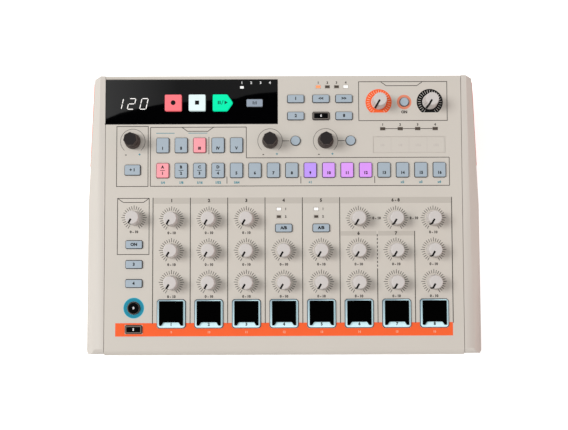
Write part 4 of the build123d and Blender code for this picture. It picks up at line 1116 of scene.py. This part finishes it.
# %% Transport keys
PLAY_POINT = 4.6
DOT_R, SQUARE_W, PAUSE_BAR, PAUSE_U = 1.95, 3.3, (0.9, 2.8), (-3.6, -2.2)
SLASH, SLASH_W, ARROW_R, ARROW_U = ((-1.0, -1.8), (0.3, 1.8)), 0.5, 1.8, 2.3
for name, finish in (("record", RECORD_KEY), ("stop", STOP_KEY), ("play", PLAY_KEY)):
    body = f"{name}_button"
    box = islands(body)[0]
    u, v, width, length, top = box
    x, y = (width - KEY_EASE) / 2, (length - KEY_EASE) / 2
    arrow = [(-x, -y), (x - PLAY_POINT, -y), (x, 0), (x - PLAY_POINT, y), (-x, y)]
    key = Piece(f"{name}_key")
    keycap(key, box, finish, arrow if name == "play" else None)
    key.finish(body, "key_plastic", [body])
    sign = Piece(f"{name}_sign")
    if name == "record":
        sign.add(disc(DOT_R), BLACK_INK, spot(u, v))
    elif name == "stop":
        sign.add(bar(SQUARE_W, SQUARE_W), BLACK_INK, spot(u, v))
    else:
        for bar_u in PAUSE_U:
            sign.add(bar(*PAUSE_BAR), GREEN_INK, spot(u + bar_u, v))
        sign.add(stroke(*SLASH, SLASH_W), GREEN_INK, spot(u, v))
        sign.add(disc(ARROW_R, sides=3), GREEN_INK, spot(u + ARROW_U, v, 0, -90))
    sign.finish(body, "key_plastic", where=PANEL @ spot(0, 0, top), film=GROUND_FILM)

# %% [markdown]
# ## Pads
# Each pad is a milky silicone frame with a black rubber top bonded into it. The top has a
# notch at the front, where the frame shows through and carries the voice's number.

# %% Pads
PAD_TOP, PAD_RIM, PAD_SUNK, PAD_CORNER, PAD_EDGE, PAD_STEPS = 2.8, 1.3, 0.2, 2.4, 0.65, 4
PAD_W, PAD_L, PAD_FRONT, PAD_REAR = 19.2, 19.6, 0.5, 0.4
NOTCH_FRONT, NOTCH_REAR, NOTCH_L = 15.4, 12.2, 3.1
TOP_CORNER, TOP_EDGE = 0.45, 0.35
PAD_STEM_W, PAD_STEM_END = 12.0, -4.7
PAD_FIGURE_H, PAD_FIGURE_UP = 2.3, 1.4
x, y = PAD_W / 2, PAD_L / 2
PAD_TOP_OUTLINE = [
    (-x, PAD_FRONT - y), (-NOTCH_FRONT / 2, PAD_FRONT - y), (-NOTCH_REAR / 2, NOTCH_L - y),
    (NOTCH_REAR / 2, NOTCH_L - y), (NOTCH_FRONT / 2, PAD_FRONT - y), (x, PAD_FRONT - y),
    (x, y + PAD_REAR), (-x, y + PAD_REAR),
]
for i in range(8):
    body = f"pad_{i + 1}"
    u, v, width, length, _ = islands(body)[0]
    here, flange_w = spot(u, v), width + 2 * FLANGE_W
    pad = Piece(f"{body}_rubber")
    rim = block(width, length, KEY_FLANGE, PAD_RIM, PAD_CORNER, PAD_EDGE, PAD_STEPS)
    # The frame's top carries painted light and its sides painted shade.
    pad.add(rim, PAD_FRAME_PAINTED_LIGHT, here, PAD_FLANK_PAINTED_SHADE)
    pad.add(block(flange_w, flange_w, FLANGE_FOOT, KEY_FLANGE, PAD_CORNER), PAD_FLANK_PAINTED_SHADE, here)
    pad.add(block(PAD_STEM_W, PAD_STEM_W, PAD_STEM_END, FLANGE_FOOT), PAD_FLANK_PAINTED_SHADE, here)
    top = plate(PAD_TOP_OUTLINE, PAD_RIM - PAD_SUNK, PAD_TOP, TOP_CORNER, TOP_EDGE)
    pad.add(top, PAD_RUBBER, here)
    pad.finish(body, "pad_rubber", [body])
    number = Piece(f"{body}_figure")
    figure_v = v - PAD_L / 2 + PAD_FIGURE_UP
    write(number, [(str(i + 1), PAD_FIGURE_H, BLACK_INK, u, figure_v)], PAD_RIM)
    number.finish(body, "pad_rubber", film=GROUND_FILM)

# %% [markdown]
# ## Knobs
# Small knobs are twelve-sided and taper upwards, so that the fingers find a grip. Their
# pointer is a dark line let into the top, which runs over the rim and down the flank. It is
# made of three thin bars, and each stands a little proud of the face that it lies in.

# %% Small knobs
KNOB_BASE, KNOB_TOP, KNOB_FOOT, KNOB_H = 12.0, 10.8, 0.5, 12.5
KNOB_SIDES, KNOB_EDGE, KNOB_CORNER = 12, 0.7, 0.15
POINTER_W, POINTER_START, POINTER_LAP = 1.5, 1.4, 0.1
POINTER_LIFT, POINTER_DEEP = 0.03, 0.3
FLANK_T, FLANK_IN, FLANK_SHARE, FLANK_START = 0.4, 0.12, 0.92, 0.4
FALL_OUT, FALL_DOWN = 0.76, 0.24
SHAFT_D, SHAFT_END, SHAFT_SIDES = 6.0, -4.0, 32


def shaft(piece, here):
    """The metal shaft under a control."""
    piece.add(post(SHAFT_D, SHAFT_D, SHAFT_END, KNOB_FOOT, SHAFT_SIDES), STEEL, here)


def pointer(piece, here, base_d, top_d, height, start, edge):
    """A pointer along a knob's top, over its rim and down its flank."""
    rim_r, tall = top_d / 2 - edge, height - KNOB_FOOT
    on_top = here @ spot(0, 0, 0, POINTER_REST)
    run, low, high = rim_r - start + POINTER_LAP, height - POINTER_DEEP, height + POINTER_LIFT
    piece.add(block(run, POINTER_W, low, high), POINTER_INK, on_top @ spot((rim_r + start) / 2, 0))
    lean = Matrix.Rotation(-math.atan2((base_d - top_d) / 2, tall), 4, "Y")
    down = block(FLANK_T, POINTER_W, -tall * FLANK_SHARE, -edge * FLANK_START)
    beside = Matrix.Translation((top_d / 2 - FLANK_IN, 0, height))
    piece.add(down, POINTER_INK, on_top @ beside @ lean)
    over = block(math.hypot(edge, edge), POINTER_W, -POINTER_DEEP, 0.0)
    fall = Matrix.Translation((rim_r + edge * FALL_OUT, 0, height - edge * FALL_DOWN))
    piece.add(over, POINTER_INK, on_top @ (fall @ Matrix.Rotation(math.radians(45), 4, "Y")))


for name in SMALL_KNOBS:
    here = spot(*joint_place(name))
    knob = Piece(f"{name}_cap")
    cap = post(KNOB_BASE, KNOB_TOP, KNOB_FOOT, KNOB_H, KNOB_SIDES, KNOB_EDGE, KNOB_CORNER)
    knob.add(cap, KNOB_PLASTIC, here)
    shaft(knob, here)
    pointer(knob, here, KNOB_BASE, KNOB_TOP, KNOB_H, POINTER_START, KNOB_EDGE)
    knob.finish(name, "knob_plastic", [name])

# %% [markdown]
# The two large dials are taller, with eighteen shallow scallops round the grip above a
# plain skirt. A wave along the rim draws each ring of vertices in where a finger goes.

# %% Dials
DIAL_BASE, DIAL_TOP, DIAL_H = 12.3, 10.7, 15.5
SKIRT_TOP, SKIRT_SIDES, SKIRT_EDGE = 2.2, 96, 0.3
SCALLOPS, SCALLOP_STEPS, SCALLOP_DEEP = 18, 8, 0.4
DIAL_EDGE, DIAL_POINTER_START = 0.4, 0.9


def scalloped(shape, count, depth):
    """Draw a round shape in between its ridges."""
    for vert in shape.verts:
        angle, radius = math.atan2(vert.co.y, vert.co.x), vert.co.xy.length
        factor = 1 - depth * abs(math.cos(angle * count / 2)) / max(radius, 1.0)
        vert.co.x, vert.co.y = vert.co.x * factor, vert.co.y * factor


for name, place in DIAL_PLACES.items():
    here = spot(*place)
    dial = Piece(f"{name}_cap")
    grip = post(DIAL_BASE, DIAL_TOP, SKIRT_TOP, DIAL_H, SCALLOPS * SCALLOP_STEPS, DIAL_EDGE)
    scalloped(grip, SCALLOPS, SCALLOP_DEEP)
    dial.add(grip, KNOB_PLASTIC, here)
    skirt = post(DIAL_BASE, DIAL_BASE, KNOB_FOOT, SKIRT_TOP, SKIRT_SIDES, SKIRT_EDGE)
    dial.add(skirt, KNOB_PLASTIC, here)
    shaft(dial, here)
    pointer(dial, here, DIAL_BASE, DIAL_TOP, DIAL_H, DIAL_POINTER_START, DIAL_EDGE)
    dial.finish(name, "dial_plastic", [name])

# %% [markdown]
# Encoders are soft black rubber: a round waist that swells towards the panel, and above it
# a seven-sided grip. The grip's flanks take the waist's lighter colour, painted light on its
# sides.

# %% Encoders
WAIST_BASE, WAIST_TOP, WAIST_H, WAIST_SIDES = 12.8, 11.6, 8.0, 72
GRIP_BASE, GRIP_TOP, GRIP_FOOT, GRIP_H = 11.4, 11.0, 7.5, 15.2
GRIP_SIDES, GRIP_EDGE, GRIP_CORNER = 7, 0.4, 0.3
for name in ENCODERS:
    here = spot(*joint_place(name))
    encoder = Piece(f"{name}_cap")
    waist = post(WAIST_BASE, WAIST_TOP, KNOB_FOOT, WAIST_H, WAIST_SIDES, GRIP_EDGE)
    encoder.add(waist, WAIST_RUBBER_AND_PAINTED_LIGHT, here)
    grip = post(GRIP_BASE, GRIP_TOP, GRIP_FOOT, GRIP_H, GRIP_SIDES, GRIP_EDGE, GRIP_CORNER)
    # The grip's flanks take the waist's lighter rubber: painted light on its sides.
    encoder.add(grip, ENCODER_RUBBER, here, WAIST_RUBBER_AND_PAINTED_LIGHT)
    shaft(encoder, here)
    encoder.finish(name, "encoder_rubber", [name])

# %% [markdown]
# ## Camera
# The camera stands almost straight above, a little towards the player, and about 0.8 m
# away. Its direction is written as an elevation above the table and a distance from the
# point that it aims at.

# %% Camera
TARGET = Vector((0.24, 0.78, 25.0)) * MM
ELEVATION, AZIMUTH, ROLL = (math.radians(a) for a in (81.565, -0.282, 0.081))
DISTANCE = 779.7 * MM
SENSOR, IMAGE_W, FOCAL_PIXELS = 36.0, 568, 956.2
NEAREST, FARTHEST = 0.01, 20.0

back = Vector((
    math.sin(AZIMUTH) * math.cos(ELEVATION),
    -math.cos(AZIMUTH) * math.cos(ELEVATION),
    math.sin(ELEVATION),
))
right = Vector((math.cos(AZIMUTH), math.sin(AZIMUTH), 0))
up = back.cross(right)
right, up = (
    right * math.cos(ROLL) + up * math.sin(ROLL),
    up * math.cos(ROLL) - right * math.sin(ROLL),
)
camera_data = bpy.data.cameras.new("camera")
camera_data.sensor_width, camera_data.lens = SENSOR, SENSOR * FOCAL_PIXELS / IMAGE_W
camera_data.clip_start, camera_data.clip_end = NEAREST, FARTHEST
camera = bpy.data.objects.new("camera", camera_data)
bpy.context.scene.collection.objects.link(camera)
eye = TARGET + back * DISTANCE
camera.matrix_world = Matrix.Translation(eye) @ Matrix((right, up, back)).transposed().to_4x4()
bpy.context.scene.camera = camera
print(f"lens {camera_data.lens:.1f} mm")

# %% [markdown]
# ## Light
# A product table: an even white surround, and one large soft box at the left that models
# the knobs and lets their shadows fall to the right. A weak warm lamp low at the right
# grazes the panel and the right cheek. What the camera, gloss and glass see of the surround
# is pure white.

# %% Surround, soft box and warm fill
SURROUND = 0.50
LAMPS = (
    ("soft_box", Vector((-3.5, 0.4, 4.2)), 2.1, 169.0, WHITE),
    ("warm_fill", Vector((2.6, -0.3, 0.3)), 1.0, 9.5, (255, 150, 128)),
)

world = bpy.data.worlds.new("surround")
world.use_nodes = True
surround = Graph(world.node_tree, "Background")
white_to = surround.seen_by("Camera", "Glossy", "Transmission")
surround.feed("Strength", white_to * (1.0 - SURROUND) + SURROUND)
surround.feed("Color", shade(WHITE))
bpy.context.scene.world = world

for name, place, size, power, colour in LAMPS:
    light = bpy.data.lights.new(name, "AREA")
    light.size, light.energy, light.color = size, power, shade(colour)[:3]
    lamp = bpy.data.objects.new(name, light)
    bpy.context.scene.collection.objects.link(lamp)
    lamp.location = place
    lamp.rotation_euler = (-place).to_track_quat("-Z", "Y").to_euler()

# %% [markdown]
# A black card over the table keeps the surround out of the lower part of the display, as a
# studio would do it. Its rear edge is a curve. We draw the reflection's edge on the window
# first and find the card's edge by following the mirror's law up from the eye. A net hangs
# just under it, thicker to the right, and dims the rest of the reflection.

# %% The black card and the net
CARD_HEIGHT, NET_HEIGHT = 1.4, 1.3
NET_FADE, NET_REAR, NET_COLOUR = (-142.0, -85.0), 112.0, (6, 6, 6)
REFLECTION_EDGE = [
    (-150.0, 74.5), (-142.7, 77.8), (-131.7, 82.3), (-121.2, 84.9), (-109.1, 87.5), (-96.5, 89.8),
    (-62.2, 92.2), (-38.0, 93.7), (-30.0, 96.4), (-19.2, 98.0), (-5.2, 99.0), (8.0, 99.5),
]
REFLECTION_FRONT = 66.0


def mirrored(u, v, height):
    """Where the line of sight to a window place goes, at the card's height."""
    place = PANEL @ Vector((u, v, WINDOW_N))
    normal = (PANEL.to_3x3() @ Vector((0, 0, 1))).normalized()
    sight = (place - eye).normalized()
    away = sight - 2 * sight.dot(normal) * normal
    return place + away * ((height - place.z) / away.z)


def card(name, outline, material, height):
    """A card over the table that only gloss can see, drawn by its reflection."""
    shape = bmesh.new()
    shape.faces.new([shape.verts.new(mirrored(*corner, height)) for corner in outline])
    made = stand(name, shape, material)
    made.visible_camera = made.visible_diffuse = made.visible_shadow = False
    made.visible_transmission = False
    return made


card_left, card_right = REFLECTION_EDGE[0][0], REFLECTION_EDGE[-1][0]
front_edge = [(card_right, REFLECTION_FRONT), (card_left, REFLECTION_FRONT)]
whole = [(card_left, NET_REAR), (card_right, NET_REAR), *front_edge]
net_fade = (mirrored(u, NET_REAR, NET_HEIGHT).x for u in NET_FADE)
cards = [
    card("black_card", REFLECTION_EDGE + front_edge, CARD_BLACK, CARD_HEIGHT),
    card("net", whole, graded_net("net", NET_COLOUR, *net_fade), NET_HEIGHT),
]
print("cards", len(cards))

# %% [markdown]
# The floor is a white table top. It keeps the machine's soft shadow.

# %% Floor
FLOOR_SIZE = 6.0
floor_shape = bmesh.new()
bmesh.ops.create_grid(floor_shape, x_segments=1, y_segments=1, size=FLOOR_SIZE / 2)
floor = stand("floor", floor_shape, TABLE_WHITE)

# %% [markdown]
# ## The view
# Colours are shown as they are written, through Blender's Standard view transform.

# %% The view transform
bpy.context.scene.view_settings.view_transform = "Standard"
